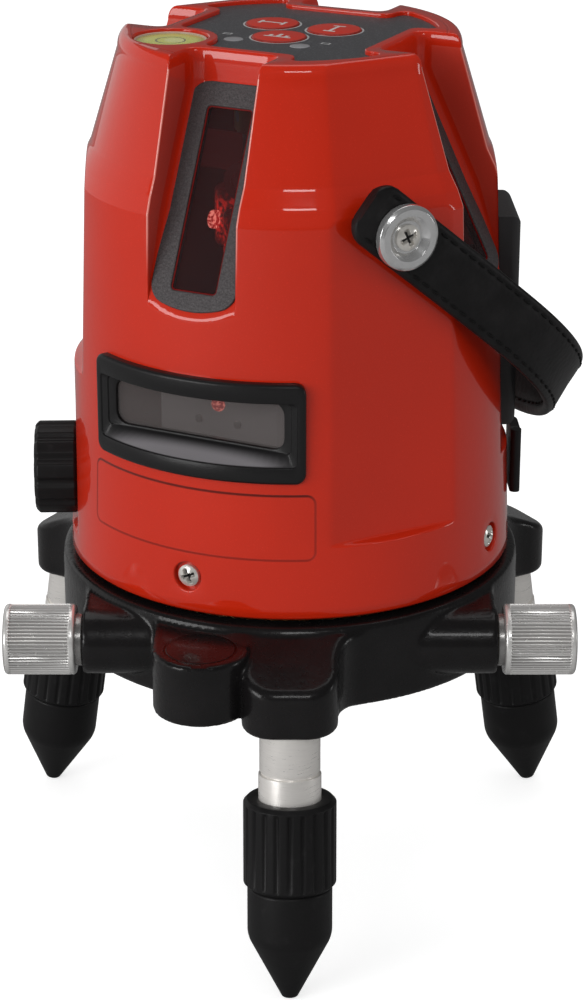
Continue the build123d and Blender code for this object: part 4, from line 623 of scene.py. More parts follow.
def knob_alu_groove_shade():
    """Bright aluminium of the fine-drive knobs, with painted shade in the knurl grooves: darker where its
    distance from their axis says groove.
    """
    f = Finish("bright_aluminium")
    x, y, z = f.axes()
    out = heading(BASE_TURN).tolist()
    reach = x * out[0] + y * out[1] - KNOB_OUT * MM
    groove = reach.far(z - KNOB_Z * MM).step(0.00826, 0.00796) * (abs(reach) < 0.0084)
    # Painted shade: the knurl grooves get a darker grey in the base colour
    f.paint(groove, (0.86, 0.85, 0.83), (0.42, 0.41, 0.4), Metallic=0.65)
    return f.set(Roughness=f.noise(900.0, 3.0, 0.7) * 0.08 + 0.22)


def laser_body_painted_glow():
    """Dark anodised laser barrels with a painted red glow: red spots in the base colour and a red emission
    near the lenses' height.
    """
    f = Finish("laser_barrel")
    _, _, z = f.axes()
    # Painted glow: red spots near the lenses' height, in the base colour and in the emission
    spots = f.noise(800.0, 3.0, 0.6).step(0.4, 0.62) * abs(z - EYE_Z * MM).step(0.0075, 0.002)
    f.paint(spots, (0.03, 0.02, 0.02), (0.2, 0.02, 0.018), Roughness=0.3)
    return f.set(Emission_Color=f.mix(spots, (0.05, 0.002, 0.002), (1.0, 0.03, 0.02)), Emission_Strength=1.0)


def red_glint():
    """Lens with a painted red glow and painted glints, given by emission."""
    f = Finish("lit_lens")
    # Painted glow: red base colour and an emission of mottled red to pale spots
    f.set(Base_Color=(0.5, 0.02, 0.02), Roughness=0.1, Emission_Strength=2.0)
    spots = f.noise(1300.0).step(0.42, 0.62)
    return f.set(Emission_Color=f.mix(spots, (0.3, 0.004, 0.004), (1.0, 0.25, 0.2)))


def leather():
    """Black leather: cells of a fine grain, creases and a dull sheen."""
    f = Finish("black_leather")
    crease = f.noise(140.0, 4.0, 0.6)
    f.paint(crease.step(0.35, 0.75), tint("leather"), tint("leather", 2.0))
    f.set(Roughness=crease * 0.2 + 0.34, Specular_IOR_Level=0.25)
    return f.bumped(f.cells(850.0, "SMOOTH_F1") * 0.7 + crease * 0.5, 0.3, 0.0004)


def thread_black():
    """Waxed black thread of the stitches."""
    f = Finish("black_thread")
    twist = f.noise(2500.0)
    f.paint(twist, (0.002, 0.002, 0.002), (0.007, 0.007, 0.007), Roughness=0.6, Specular_IOR_Level=0.2)
    return f.bumped(twist, 0.3, 0.0002)


def mottled(name, scale, low, high, **values):
    """Finish of two tones in soft patches, and other values of its shader."""
    f = Finish(name)
    return f.paint(f.noise(scale), low, high, **values)


def pane(name, base, cover):
    """Tinted window pane: a film of one colour that covers part of what lies behind it."""
    low = tuple(c * 0.7 for c in base)
    return mottled(name, 60.0, low, base, Roughness=0.04, Specular_IOR_Level=0.05, Alpha=cover)


def clear_lens():
    """Clear plastic dome over the vial."""
    f = Finish("clear_dome")
    f.set(Roughness=f.noise(200.0) * 0.03 + 0.05)
    return f.set(Base_Color=(0.75, 0.72, 0.5), Specular_IOR_Level=0.3, Alpha=0.14)


def vial_liquid():
    """Yellow-green liquid with a dark target ring and a pale bubble."""
    f = Finish("vial_liquid")
    x, y, _ = f.axes(VIAL[:2])
    bubble_x, bubble_y, _ = f.axes(VIAL[:2] + (0.8, 0.6))
    ring = abs(x.far(y) - 0.0033).step(0.00028, 0.00016)
    bubble = bubble_x.far(bubble_y).step(0.0026, 0.0022)
    tone = f.mix(x.far(y).step(0.0055, 0.0076), tint("vial"), tint("vial", 0.55))
    tone = f.mix(bubble * 0.55, tone, (0.85, 0.88, 0.5))
    return f.paint(ring, tone, (0.02, 0.025, 0.01), Roughness=0.15, Coat_Weight=0.4)


def key_panel():
    """Dark grey printed film with a fine speckle, pale rings round the keys and small pale marks."""
    f = Finish("printed_key_panel")
    tone = f.mix(f.noise(2600.0, 1.0).step(0.56, 0.68), tint("overlay"), tint("overlay", 2.2))
    marks = []
    for place in KEYS.values():
        x, y, _ = f.axes(place)
        marks.append(abs(x.far(y) - 0.0066).step(0.00036, 0.00024))
    for side in (-1, 1):
        x, y, _ = f.axes((side * 12.5, -7.0))
        outer = (abs(x) < 0.0011).both(abs(y) < 0.0007)
        marks.append(outer - (abs(x) < 0.0008).both(abs(y) < 0.0004))
    while len(marks) > 1:
        marks[:2] = [marks[0].either(marks[1])]
    f.paint(marks[0], tone, (0.4, 0.4, 0.4), Roughness=0.42, Specular_IOR_Level=0.3)
    return f.bumped(f.noise(1800.0), 0.08, 0.0002)


def key_finish(which):
    """Red key with a pale printed mark: a level bar, an upright bar or a comb."""
    f = Finish(f"key_{which}_print")
    x, y, _ = f.axes(KEYS[which])
    if which == "receiver":
        mark = (abs(x) < 0.0034).both(abs(y + 0.0012) < 0.00035)
        for place, tall in ((-0.002, 0.0018), (0.0, 0.003), (0.002, 0.0018)):
            mark = mark.either((abs(x - place) < 0.00045).both(abs(y + 0.0012 - tall / 2) < tall / 2))
    else:
        along, across = (x, y) if which == "horizontal" else (y, x)
        mark = (abs(along) < 0.0029).both(abs(across) < 0.0004)
        mark = mark.either((abs(abs(along) - 0.0029) < 0.0004).both(abs(across) < 0.0015))
    tone = f.mix(x.far(y).step(0.0058, 0.0061), tint("red"), tint("red", 0.5))
    f.paint(mark, tone, (0.55, 0.5, 0.48), Roughness=0.32)
    return f.bumped(f.noise(1500.0), 0.05, 0.0002)


def board_green():
    """Circuit board with fine tracks."""
    f = Finish("circuit_board")
    return f.paint(f.cells(700.0).step(0.2, 0.3), (0.02, 0.1, 0.04), (0.03, 0.16, 0.06), Roughness=0.4)


def pale_floor():
    """Floor that glows pale to the camera and is grey to the light that it bounces."""
    f = Finish("pale_floor")
    seen = f.node("ShaderNodeLightPath", output="Is Camera Ray")
    tone = f.mix(f.noise(4.0), (0.66, 0.66, 0.66), (0.68, 0.68, 0.68))
    f.paint(seen, (0.3, 0.3, 0.3), tone, Roughness=0.9, Specular_IOR_Level=0.1)
    return f.set(Emission_Color=f.mix(seen, (0.0, 0.0, 0.0), (0.64, 0.64, 0.64)), Emission_Strength=1.0)


# Painted glow: a faint grey emission that makes the block behind the line window's pane show through it
PAINTED_GLOW = {"Roughness": 0.5, "Emission_Color": (0.15, 0.135, 0.135), "Emission_Strength": 1.0}
DULL = {"Roughness": 0.5, "Specular_IOR_Level": 0.1}
RECIPES = {
    "red": red_paint,
    "cast": black_cast,
    "plastic": partial(grained, "satin_black_plastic", 1.0, 120.0, 1.35, 0.32, 0.25),
    "door": partial(grained, "door_plastic", 2.6, 90.0, 1.3, 0.3, 0.3),
    "line_frame": line_frame,
    "foot": foot_plastic,
    "bezel": bezel_plastic,
    "alu": knob_alu_groove_shade,
    "steel": partial(turned, "satin_steel", (0.92, 0.89, 0.85), 0.24, 500.0, 0.6, (0.4, 0.4, 6.0)),
    "nickel": partial(turned, "nickel_plate", (0.82, 0.79, 0.74), 0.14, 600.0, 0.6),
    "washer": partial(turned, "washer_aluminium", (0.8, 0.8, 0.8), 0.14, 700.0, 0.85),
    "inner": partial(turned, "inner_metal", (0.5, 0.5, 0.5), 0.34, 500.0),
    "brass": partial(turned, "turned_brass", (0.72, 0.5, 0.22), 0.26, 600.0),
    "laser": laser_body_painted_glow,
    "glint": red_glint,
    "leather": leather,
    "thread": thread_black,
    "glass": partial(pane, "smoked_glass", (0.036, 0.024, 0.025), 0.42),
    "line_glass": partial(pane, "grey_glass", (0.11, 0.098, 0.096), 0.6),
    # Painted reflection: the dark red lining round each slot window stands in for the red glow at the glass
    # edge
    "lining": partial(mottled, "red_lining", 500.0, (0.1, 0.002, 0.0015), (0.17, 0.004, 0.003), **DULL),
    "block": partial(mottled, "grey_block", 200.0, (0.2, 0.19, 0.19), (0.26, 0.25, 0.25), **PAINTED_GLOW),
    "lens": clear_lens,
    "liquid": vial_liquid,
    "rim": partial(mottled, "vial_rim", 300.0, (0.38, 0.26, 0.19), (0.5, 0.36, 0.27), Roughness=0.25),
    "panel": key_panel,
    **{f"key_{which}": partial(key_finish, which) for which in KEYS},
    "lamp": partial(mottled, "lamp_window", 800.0, (0.2, 0.2, 0.21), (0.27, 0.27, 0.28), Roughness=0.3),
    "board": board_green,
    "cell": partial(mottled, "cell_sleeve", 40.0, (0.03, 0.08, 0.2), (0.05, 0.12, 0.3), Roughness=0.3),
    "floor": pale_floor,
}


# The head


def shell_radius(z):
    """Radius of the head's outline at heights up to its crown, its corners cut to rounded facets."""
    ends = [np.array(p, float) for p in (SHELL_LOW, WAIST, SHOULDER, CROWN)]
    path = [ends[0]]
    for before, here, after in zip(ends, ends[1:], ends[2:]):
        path += [here + (end - here) / np.linalg.norm(end - here) * 2.2 for end in (before, after)]
    path = rounded((*path, ends[3]), (1.0, 1.0, 0.7, 0.7), 5)
    return np.interp(z, path[:, 1], path[:, 0])


def wall_reach(place):
    """Distance out to the wall at (across, height)."""
    return np.sqrt(shell_radius(place[:, 1]) ** 2 - place[:, 0] ** 2)


def slot_floor(z):
    """Radius of a slot's floor at a height: upright at the top, then down the slope, sunk below the frame."""
    run = (SLOT_TOP - z) / -SLOPE[1]
    slope = SLOT_BACK + SLOPE[0] * run - SLOT_SINK / -SLOPE[1]
    return np.maximum(slope, SLOT_BACK)


def flat_radius(z):
    """Distance of a lobe's flat from the axis at a height: the straight line between its ends."""
    (low_r, low_z), (high_r, high_z) = FLAT_LOW, FLAT_HIGH
    return low_r + (high_r - low_r) * (z - low_z) / (high_z - low_z)


def curve(a, corner, b, count):
    """Points of the bend from a to b that leans to a corner: (1-t)^2 a + 2 t (1-t) corner + t^2 b."""
    t = np.linspace(0, 1, count)[None, :, None]
    return (1 - t) ** 2 * a[:, None] + 2 * t * (1 - t) * corner[:, None] + t**2 * b[:, None]


def swung(path, azimuth):
    """Flat points (across, out) turned to an azimuth."""
    return path[..., :1] * heading(azimuth + 90)[:2] + path[..., 1:] * heading(azimuth)[:2]


def pressed(ring, azimuth, distance, live):
    """Cross-sections pushed back to an upright flat at a distance from the axis, with a soft brink."""
    normal = heading(azimuth)[:2]
    past = ring @ normal - distance[:, None]
    press = np.where(past > -3, (past + np.sqrt(past**2 + 0.012)) / 2, 0.0)
    return ring - (press * ease(live)[:, None])[..., None] * normal


def head_rows(z, radius, inset=0.0):
    """Closed cross-sections of the head, a row per height: four slots with round walls, lobes between."""
    inset = np.broadcast_to(inset, z.shape)
    half = SLOT_HALF + inset
    edge = np.sqrt(radius**2 - half**2)
    floor = slot_floor(z) - inset
    depth = np.maximum(edge - floor, 0.0)
    front = np.minimum(size("corner"), depth * 0.6)
    back = np.minimum(SLOT_NOOK_R, depth * 0.4)
    low = edge - depth
    lead = np.arcsin(half / radius) + front / radius
    on_lobe = np.stack((-radius * np.sin(lead), radius * np.cos(lead)), -1)
    corners = ((-half, edge), (-half, edge - front), (-half, low + back), (-half, low), (back - half, low))
    brink, wall_top, wall_low, nook, on_floor = (np.stack(corner, -1) for corner in corners)
    t = np.linspace(0, 1, 8)[None, 1:-1, None]
    wall = wall_top[:, None] * (1 - t) + wall_low[:, None] * t
    runs = (curve(on_lobe, brink, wall_top, 7), wall, curve(wall_low, nook, on_floor, 6))
    side = np.concatenate(runs, axis=1)
    across = on_floor[:, None, :1] * (1 - 2 * np.linspace(0, 1, 13)[None, 1:-1, None])
    level = np.minimum(np.maximum(floor, low)[:, None, None], np.sqrt(radius[:, None, None] ** 2 - across**2))
    far_side = side[:, ::-1] * np.array((-1.0, 1.0))
    spread = np.linspace(0, 1, 74)[None, 1:-1]
    turn = lead[:, None] * (1 - spread) + (pi / 2 - lead[:, None]) * spread
    lobe = np.stack((radius[:, None] * np.sin(turn), radius[:, None] * np.cos(turn)), -1)
    quarter = np.concatenate((side, np.concatenate((across, level), -1), far_side, lobe), axis=1)
    ring = np.concatenate([swung(quarter, azimuth) for azimuth in SLOTS.values()], axis=1)
    for azimuth, bottom in FLATS:
        reach = flat_radius(z)
        if azimuth in (STRAP_AZ, STRAP_AZ - 180):
            reach = np.minimum(reach, STRAP_FLAT_SHARE * radius)
        ring = pressed(ring, azimuth, reach, np.clip((z - bottom + FLAT_FADE) / FLAT_FADE, 0, 1))
    ramp = LOCK_FLAT + np.clip(z - LOCK_RAMP_Z, 0, 20) * LOCK_RAMP
    live = np.clip((z - LOCK_FLAT_Z[0]) / FLAT_FADE, 0, 1) * (z < LOCK_FLAT_Z[1])
    ring = pressed(ring, LOCK_AZ, ramp, live)
    return np.concatenate((ring, np.broadcast_to(z[:, None, None], (*ring.shape[:2], 1))), axis=-1)


def panel_loop(grow=0.0):
    """Outline of the key panel: a disc notched at the slots, its corners rounded, hollowed round the vial."""
    disc = PANEL_R + grow
    back = PANEL_BACK + grow
    half = PANEL_HALF - grow
    nook = PANEL_NOOK_R - grow
    corner = PANEL_CORNER_R + grow
    tip = sqrt(disc**2 - half**2)
    first = atan2(half, tip)
    arc = [(disc * sin(a), disc * cos(a)) for a in np.linspace(first, pi / 2 - first, 7)[1:-1]]
    corners = [(0, back), (half, back), (half, tip), *arc, (tip, half), (back, half), (back, 0)]
    radii = [nook, corner] + [0.0] * len(arc) + [corner, nook]
    lobe = rounded(corners, radii, 7)[1:-1]
    parts = [(lobe, azimuth) for azimuth in (0, 90, 180)]
    # Fourth lobe: two noses that bend into the hollow round the vial
    ring = PANEL_HOLLOW_R - grow
    bend = PANEL_NOOK_R + grow
    cx, cy = VIAL @ heading(0), VIAL @ heading(-90)
    ends = []
    for ax, ay in ((cx, cy), (cy, cx)):
        nose_y = back - bend
        nose_x = ax - sqrt((ring + bend) ** 2 - (nose_y - ay) ** 2)
        swing = atan2(ay - nose_y, ax - nose_x)
        turn = np.linspace(pi / 2, swing, 7)
        ends.append((swing, np.stack((nose_x + bend * np.cos(turn), nose_y + bend * np.sin(turn)), -1)))
    arc = np.linspace(ends[0][0] + pi, 3 * pi / 2 - ends[1][0], 18)[1:-1]
    arc = np.stack((cx + ring * np.cos(arc), cy + ring * np.sin(arc)), -1)
    parts.append((np.concatenate((ends[0][1], arc, ends[1][1][::-1, ::-1])), -90))
    return np.concatenate([swung(path, azimuth) for path, azimuth in parts])


def inside(loop, points):
    """Whether points lie in a closed loop, by counting the sides that a level ray crosses."""
    ax, ay = loop.T
    bx, by = np.roll(loop, -1, axis=0).T
    px, py = points[:, :1], points[:, 1:2]
    spans = (ay > py) != (by > py)
    with np.errstate(divide="ignore", invalid="ignore"):
        cross = px < (bx - ax) * (py - ay) / (by - ay) + ax
    return (spans & cross).sum(axis=1) % 2 == 1


def flat_fill(outer, holes, z):
    """Level face between a closed loop and the holes in it, as triangles of all their points."""
    loops = [outer, *holes]
    edges = []
    start = 0
    for loop in loops:
        index = np.arange(len(loop))
        edges += np.stack((start + index, start + (index + 1) % len(loop)), -1).tolist()
        start += len(loop)
    points = [Vector(p) for p in np.concatenate(loops).tolist()]
    made = geometry.delaunay_2d_cdt(points, edges, [], 1, 1e-6)
    flat = np.array([tuple(p) for p in made[0]])
    faces = np.array(made[2])
    middle = flat[faces].mean(axis=1)
    keep = inside(outer, middle)
    for hole in holes:
        keep &= ~inside(hole, middle)
    faces = faces[keep]
    a, b, c = (flat[faces[:, k]] for k in range(3))
    turn = (b[:, 0] - a[:, 0]) * (c[:, 1] - a[:, 1]) - (b[:, 1] - a[:, 1]) * (c[:, 0] - a[:, 0])
    faces[turn < 0] = faces[turn < 0][:, ::-1]
    return at_height(flat, z), faces


# Heights of the head's rows: single ones at its foot, then runs of (start, stop, step)
FOOT_ROWS = (FOOT_Z, 23.1, 24.4, 25.6, 25.9, 26.2, 26.5, 27.5, 29.7, 31.9)
ROW_RUNS = (
    (34, 37, 1.0), (37, 39, 0.2), (39, 46, 1.0), (46, 47.4, 0.2), (47.4, 66, 1.5), (66, 72, 0.25),
    (72, 86, 2.0), (86, 99, 0.5), (99, 111, 1.5), (111, 121, 0.4), (121, 141.5, 1.5),
)


class LEVEL_OT_head(bpy.types.Operator):
    """Head shell: cross-sections lofted up the outline, a rounded rim, and a flat top with its recesses."""

    bl_idname = "level.head"
    bl_label = "Head shell"

    def execute(self, context):
        z = np.concatenate((FOOT_ROWS, *(np.arange(*run) for run in ROW_RUNS), (CROWN[1],)))
        wall = head_rows(z, shell_radius(z))
        # Foot rolled in to the open underside
        lip = np.repeat(wall[:1], 4, axis=0)
        roll = FOOT_ROLL * np.sin(np.linspace(pi / 2, 0, 4)[:-1])
        lip[..., 2] = np.concatenate(((SHELL_LOW[1],), FOOT_Z - roll))[:, None]
        reach = np.linalg.norm(lip[..., :2], axis=-1, keepdims=True)
        lip[..., :2] *= (reach - np.concatenate(((2.4,), roll))[:, None, None]) / reach
        # Rim rolled over to the flat top
        bend = np.linspace(0, pi / 2, 9)[1:]
        drawn_in = 1 - np.cos(bend)
        rim = head_rows(np.full_like(bend, CROWN[1]), CROWN[0] - size("rim") * drawn_in, 0.7 * drawn_in)
        rim[..., 2] = (CROWN[1] + (TOP_Z - CROWN[1]) * np.sin(bend))[:, None]
        grid = np.concatenate((lip, wall, rim))
        quads = grid_faces(*grid.shape[:2])
        points = grid.reshape(-1, 3)
        # Openings of the line window and the slots
        middle = points[quads].mean(axis=1)
        x, y, h = middle.T
        half, low, high = LINE_OPEN
        gone = (np.abs(x) < half) & (y < 0) & (h > low) & (h < high)
        half, low, high = SLOT_OPEN
        for azimuth in SLOTS.values():
            out = middle[:, :2] @ heading(azimuth)[:2]
            off = np.abs(middle[:, :2] @ heading(azimuth + 90)[:2])
            on_floor = np.abs(out - slot_floor(h)) < 0.6
            gone |= on_floor & (out > 0) & (off < half) & (h > low) & (h < high)
        points, quads = self.pockets(points, quads[~gone])
        # Flat top with the panel's recess and the vial's bore
        panel = panel_loop(0.1)
        bore = VIAL[:2] + VIAL_BORE_R * circle(72)
        brink = 0.3
        edge = panel + loop_normals(panel) * brink
        top_points, top_faces = flat_fill(grid[-1, :, :2], (edge, bore), TOP_Z)
        top_faces = top_faces + len(points)
        parts = [points, top_points]
        faces = [quads]
        start = len(points) + len(top_points)
        for loop, deep in ((edge, PANEL_Z), (bore, VIAL_BORE_Z)):
            rows = [(-brink * sin(t), TOP_Z - brink * (1 - cos(t))) for t in np.linspace(0, pi / 2, 4)]
            rows.append((-brink, deep))
            parts += strips(loop, rows)
            faces.append(grid_faces(len(rows), len(loop), start)[:, ::-1])
            start += len(rows) * len(loop)
        faces.append(top_faces[:, (0, 1, 2, 2)])
        form = weld(np.concatenate(parts), np.concatenate(faces))
        shape("head_skin", form, "red", "head", ("head_shell",), False, 50.0)
        return {"FINISHED"}

    def pockets(self, points, quads):
        """Screw pockets: a patch of the wall gives way to a bore with a rolled lip and a flat floor."""
        parts = [points]
        extra = []
        count = len(points)
        ring = circle(40)
        floor = float(shell_radius(SCREW_Z)) - 1.5
        patch_z, patch_half = 28.55, 5.6
        for azimuth in SLOTS.values():
            out, side = heading(azimuth), heading(azimuth + 90)
            flat = np.stack((points @ side, points[:, 2]), -1)
            near = (np.abs(flat - (0.0, patch_z)) < patch_half).all(axis=1) & (points @ out > 0)
            patch = near[quads].all(axis=1)
            rim = np.unique(quads[patch])
            seen = np.bincount(quads[patch].ravel(), minlength=len(points))[rim]
            rim = rim[seen < 4]
            order = np.argsort(np.arctan2(flat[rim, 1] - patch_z, flat[rim, 0]))
            quads = quads[~patch]
            made, faces = flat_fill(flat[rim[order]], (ring * POCKET_R + (0.0, SCREW_Z),), 0.0)
            parts.append(out * wall_reach(made)[:, None] + made[:, :1] * side + made[:, 1:2] * UP)
            extra.append(count + faces[:, (0, 1, 2, 2)])
            count += len(made)
            rows = ((POCKET_R, 0.0), (3.68, 0.05), (3.56, 0.16), (3.5, 0.35), (3.5, None), (0.0, None))
            for radius, sink in rows:
                place = ring * radius + (0.0, SCREW_Z)
                reach = np.full(len(ring), floor) if sink is None else wall_reach(place) - sink
                parts.append(out * reach[:, None] + place[:, :1] * side + place[:, 1:] * UP)
            extra.append(grid_faces(len(rows), len(ring), count))
            count += len(rows) * len(ring)
        return np.concatenate(parts), np.concatenate((quads, *extra))


class LEVEL_OT_slot_frames(bpy.types.Operator):
    """Slot frames: loops lofted over a sloping plate, from its edge over the face and into its window."""

    bl_idname = "level.slot_frames"
    bl_label = "Slot frames"

    def execute(self, context):
        count = 20
        window = box_loop(5.7, 5.7, 47.9, 1.0, count)
        plate, rounder = (box_loop(10.75, 0.1, FRAME_END, corner, count) for corner in (3.0, 5.0))
        # Rounder corners at the upper end, and a lower end that follows the wall
        middle = 26
        upper = plate[:, 1] < middle
        plate[upper] = rounder[upper]
        reach = (np.sqrt(50.85**2 - plate[:, 0] ** 2) - SLOT_BACK) / SLOPE[0]
        plate[:, 1] += (reach - 0.32 - FRAME_END) * np.clip((plate[:, 1] - middle) / 23.0, 0, 1)
        roll = 0.3
        bend = np.linspace(0, pi / 2, 5)
        outer = [(0.0, -2.2), (0.0, -0.45), (0.0, -roll)]
        outer += [(-roll * (1 - cos(t)), -roll + roll * sin(t)) for t in bend[1:]]
        outer.append((-0.5, 0.0))
        inner = [(0.7, 0.0), (0.45, 0.0)]
        inner += [(roll - roll * sin(t), -roll * (1 - cos(t))) for t in bend]
        inner += [(0.0, -0.5), (0.0, -2.4)]
        frame_grid = np.stack(strips(plate, outer) + strips(window, inner))
        glass = slab(window + loop_normals(window) * 0.5, -0.6, -1.9)
        # Dark red lining inside each window's edge: a painted reflection standing in for the red glow at the
        # glass edge
        lining = ((0.02, -0.4), (-0.3, -0.45), (-0.3, -0.65), (0.02, -0.65), (0.02, -0.4))
        rim = np.stack(strips(window, lining))
        for name, azimuth in SLOTS.items():
            radial = heading(azimuth)
            down = radial * SLOPE[0] + UP * SLOPE[1]
            normal = radial * -SLOPE[1] + UP * SLOPE[0]
            axes = (radial * SLOT_BACK + UP * SLOT_TOP, np.cross(down, normal), down, normal)
            plates, panes, rims = ([set_in(grid, *axes)] for grid in (frame_grid, glass, rim))
            node = f"slot_bezel_{name}"
            piece(f"slot_frame_{name}", plates, "bezel", "head", (node,), False)
            piece(f"slot_pane_{name}", panes, "glass", "head", (f"slot_glass_{name}",))
            piece(f"slot_rim_{name}", rims, "lining", "head")
        return {"FINISHED"}


class LEVEL_OT_line_window(bpy.types.Operator):
    """Line window: loops from the curved outer frame over its face, down a flared recess to the pane."""

    bl_idname = "level.line_window"
    bl_label = "Line window"

    def execute(self, context):
        count = 24

        def bent(loop, depth):
            """Loop of (arc, height) wrapped round the axis: (r sin a, -r cos a, h), r = radius - depth."""
            reach = LINE_R - depth
            turn = loop[:, 0] / LINE_R
            return np.stack((reach * np.sin(turn), -reach * np.cos(turn), loop[:, 1]), -1)

        outer = box_loop(LINE_HALF, *LINE_Z, 2.5, count)
        out = loop_normals(outer)
        roll = 0.9
        rows = [bent(outer, LINE_R - (shell_radius(outer[:, 1]) + 0.05))]
        for t in np.linspace(0, pi / 2, 5):
            rows.append(bent(outer - out * roll * (1 - cos(t)), roll * (1 - sin(t))))
        mouth = LINE_R * asin((LINE_OPEN[0] - 0.2) / LINE_R)
        lip = box_loop(mouth + 0.5, 57.2, 72.9, 1.4, count)
        inner = box_loop(mouth, 57.5, 72.6, 1.2, count)
        rows += [bent(lip, 0.0), bent((lip - inner) * 0.3 + inner, 0.12), bent(inner, 0.5)]
        floor = box_loop(23.6, 60.1, 72.3, 1.4, count)
        window = box_loop(21.5, 60.8, 72.0, 3.0, count)
        flat = strips(floor, ((0.0, -46.9), (-0.25, -46.6)))
        flat += strips(window, ((0.3, -46.55), (0.1, -46.45), (0.0, -46.1), (0.0, -44.6)))
        rows += [row[:, (0, 2, 1)] for row in flat]
        piece("line_frame", [np.stack(rows)], "line_frame", "head", ("line_bezel",), False)
        glass = slab(window + loop_normals(window) * 0.6, 45.7, 44.5)
        piece("line_pane", [facing(glass, 0)], "line_glass", "head", ("line_glass",))
        # Block with studs and a lens behind the pane; block and lens glow by painted emission
        block = slab(box_loop(15.0, 56.0, 67.4, 0.6, 8), 37.0, 21.6)
        piece("line_block", [facing(block, 0)], "block", "plumb")
        stud = lathe(rounded(((0, 36.9), (1.0, 36.9), (1.0, 37.5), (0, 37.5)), (0, 0.2), 4), 24)
        piece("line_studs", [facing(stud, 0, x, 61.4) for x in (-5, 5)], "steel", "plumb", (), False)
        glow = lathe(rounded(((0, 36.9), (1.7, 36.9), (1.7, 37.4), (0, 38.2)), (0, 0.3), 5), 32)
        piece("line_lens", [facing(glow, 0, 0.0, 65.6)], "glint", "plumb", (), False)
        # Laser barrels behind the slots, each with a lens that looks out; barrels and lenses carry a painted
        # red glow
        hub = rounded(((0, 95.0), (12.2, 95.0), (12.2, 102.0), (0, 102.0)), (0.6, 0.6), 5)
        tube = lathe(rounded(((0, 91.5), (5.2, 91.5), (5.2, 105.5), (0, 105.5)), (0.8, 0.8), 5), 48)
        eye = rounded(((0, 18.0), (2.2, 18.0), (2.2, 19.6), (1.7, 19.6), (0, 20.1)), (0, 0.3, 0.2), 5)
        barrels = [lathe(hub, 48)]
        barrels += [tube + heading(a) * BARREL_OUT + heading(a + 90) * BARREL_SIDE for a in SLOTS.values()]
        lenses = [facing(lathe(eye, 40), a, EYE_SIDE, EYE_Z) for a in SLOTS.values()]
        piece("laser_barrels", barrels, "laser", "plumb", (), False)
        piece("laser_lenses", lenses, "glint", "plumb", (), False)
        return {"FINISHED"}


class LEVEL_OT_top(bpy.types.Operator):
    """Top: crowned keys, lamp windows and the vial, each a profile turned about its own axis."""

    bl_idname = "level.top"
    bl_label = "Keys and vial"

    def execute(self, context):
        clothe("key_overlay", "panel")
        cap = ((0, 143.3), (3.5, 143.3), (3.5, 144.3), (6.35, 144.3), (6.35, 144.85), (0, 144.95))
        cap = lathe(rounded(cap, (0, 0, 0, 0.25), 5), 72)
        for name, place in KEYS.items():
            grids = [cap + (*place, 0.0)]
            piece(f"key_cap_{name}", grids, f"key_{name}", f"key_{name}", (f"key_{name}",))
        dot = lathe(rounded(((0, 143.95), (2.3, 143.95), (2.3, 144.6), (0, 144.75)), (0, 0.2), 4), 40)
        dots = [dot + (*place, 0.0) for place in LAMPS]
        piece("lamp_dots", dots, "lamp", "head", ("led_windows",))
        cup = ((7.8, 138), (7.8, 144.9), (8.55, 144.9), (8.55, 136), (0, 136), (0, 138), (7.8, 138))
        cup = rounded(cup, (0.25, 0.3, 0, 0, 0), 4)
        liquid = ((0, VIAL_LOW), (VIAL_R, VIAL_LOW), (VIAL_R, 144.6), (0, 144.6))
        # Dome: the cap of a ball, (R^2 + rise^2) / (2 rise) in radius
        ball = (VIAL_R**2 + DOME_RISE**2) / (2 * DOME_RISE)
        t = np.linspace(0, asin(7.7 / ball), 10)[::-1]
        dome = np.stack((ball * np.sin(t), DOME_Z - ball * (1 - np.cos(t))), -1)
        dome = np.concatenate((((0, 144.62), (7.7, 144.62)), dome))
        parts = (("ring", cup, "rim", "black_plastic", "vial_cup"),
                 ("fill", liquid, "liquid", "vial_liquid", "vial_liquid"),
                 ("dome", dome, "lens", "clear_plastic", "vial_lens"))
        for name, profile, kind, slot, node in parts:
            piece(f"vial_{name}", [lathe(profile, 72) + VIAL], kind, "head", (node,))
        return {"FINISHED"}


def screw_head(radius, edge, crown):
    """Domed screw head: height edge + crown (1 - (r/R)^2), pressed down where a tapered cross reaches."""
    r = np.concatenate((np.linspace(0, 1, 26), (1.0, 1.0))) * radius
    x, y, _ = np.moveaxis(lathe(np.stack((r, r), -1), 64), -1, 0)
    h = edge + crown * (1 - (r[:, None] / radius) ** 2) + 0 * x
    wide, tall = np.abs(x), np.abs(y)
    arms = [np.maximum(a / (0.66 * radius), b / (0.19 * radius)) for a, b in ((wide, tall), (tall, wide))]
    h = h - 1.15 * ease(np.clip((1.15 - np.minimum(*arms)) / 0.3, 0, 1))
    h[-2] = edge * 0.3
    h[-1] = -0.1
    return np.stack((x, y, h), -1)[::-1]


def screw_cross_shade(top, low):
    """Two crossed dark bars that line the floor of a screw's recess as painted shade."""
    bar = slab(box_loop(1.4, -0.26, 0.26, 0.1, 6), top, low)
    return bar, bar[..., (1, 0, 2)] * np.array((-1.0, 1.0, 1.0))


def screw_seat(azimuth, tilt, away, up):
    """Origin and axes of a screw that looks out along an azimuth, its cross turned by a tilt."""
    out = heading(azimuth)
    x = heading(azimuth + 90) * cos(tilt) + UP * sin(tilt)
    return out * away + UP * up, x, np.cross(out, x), out


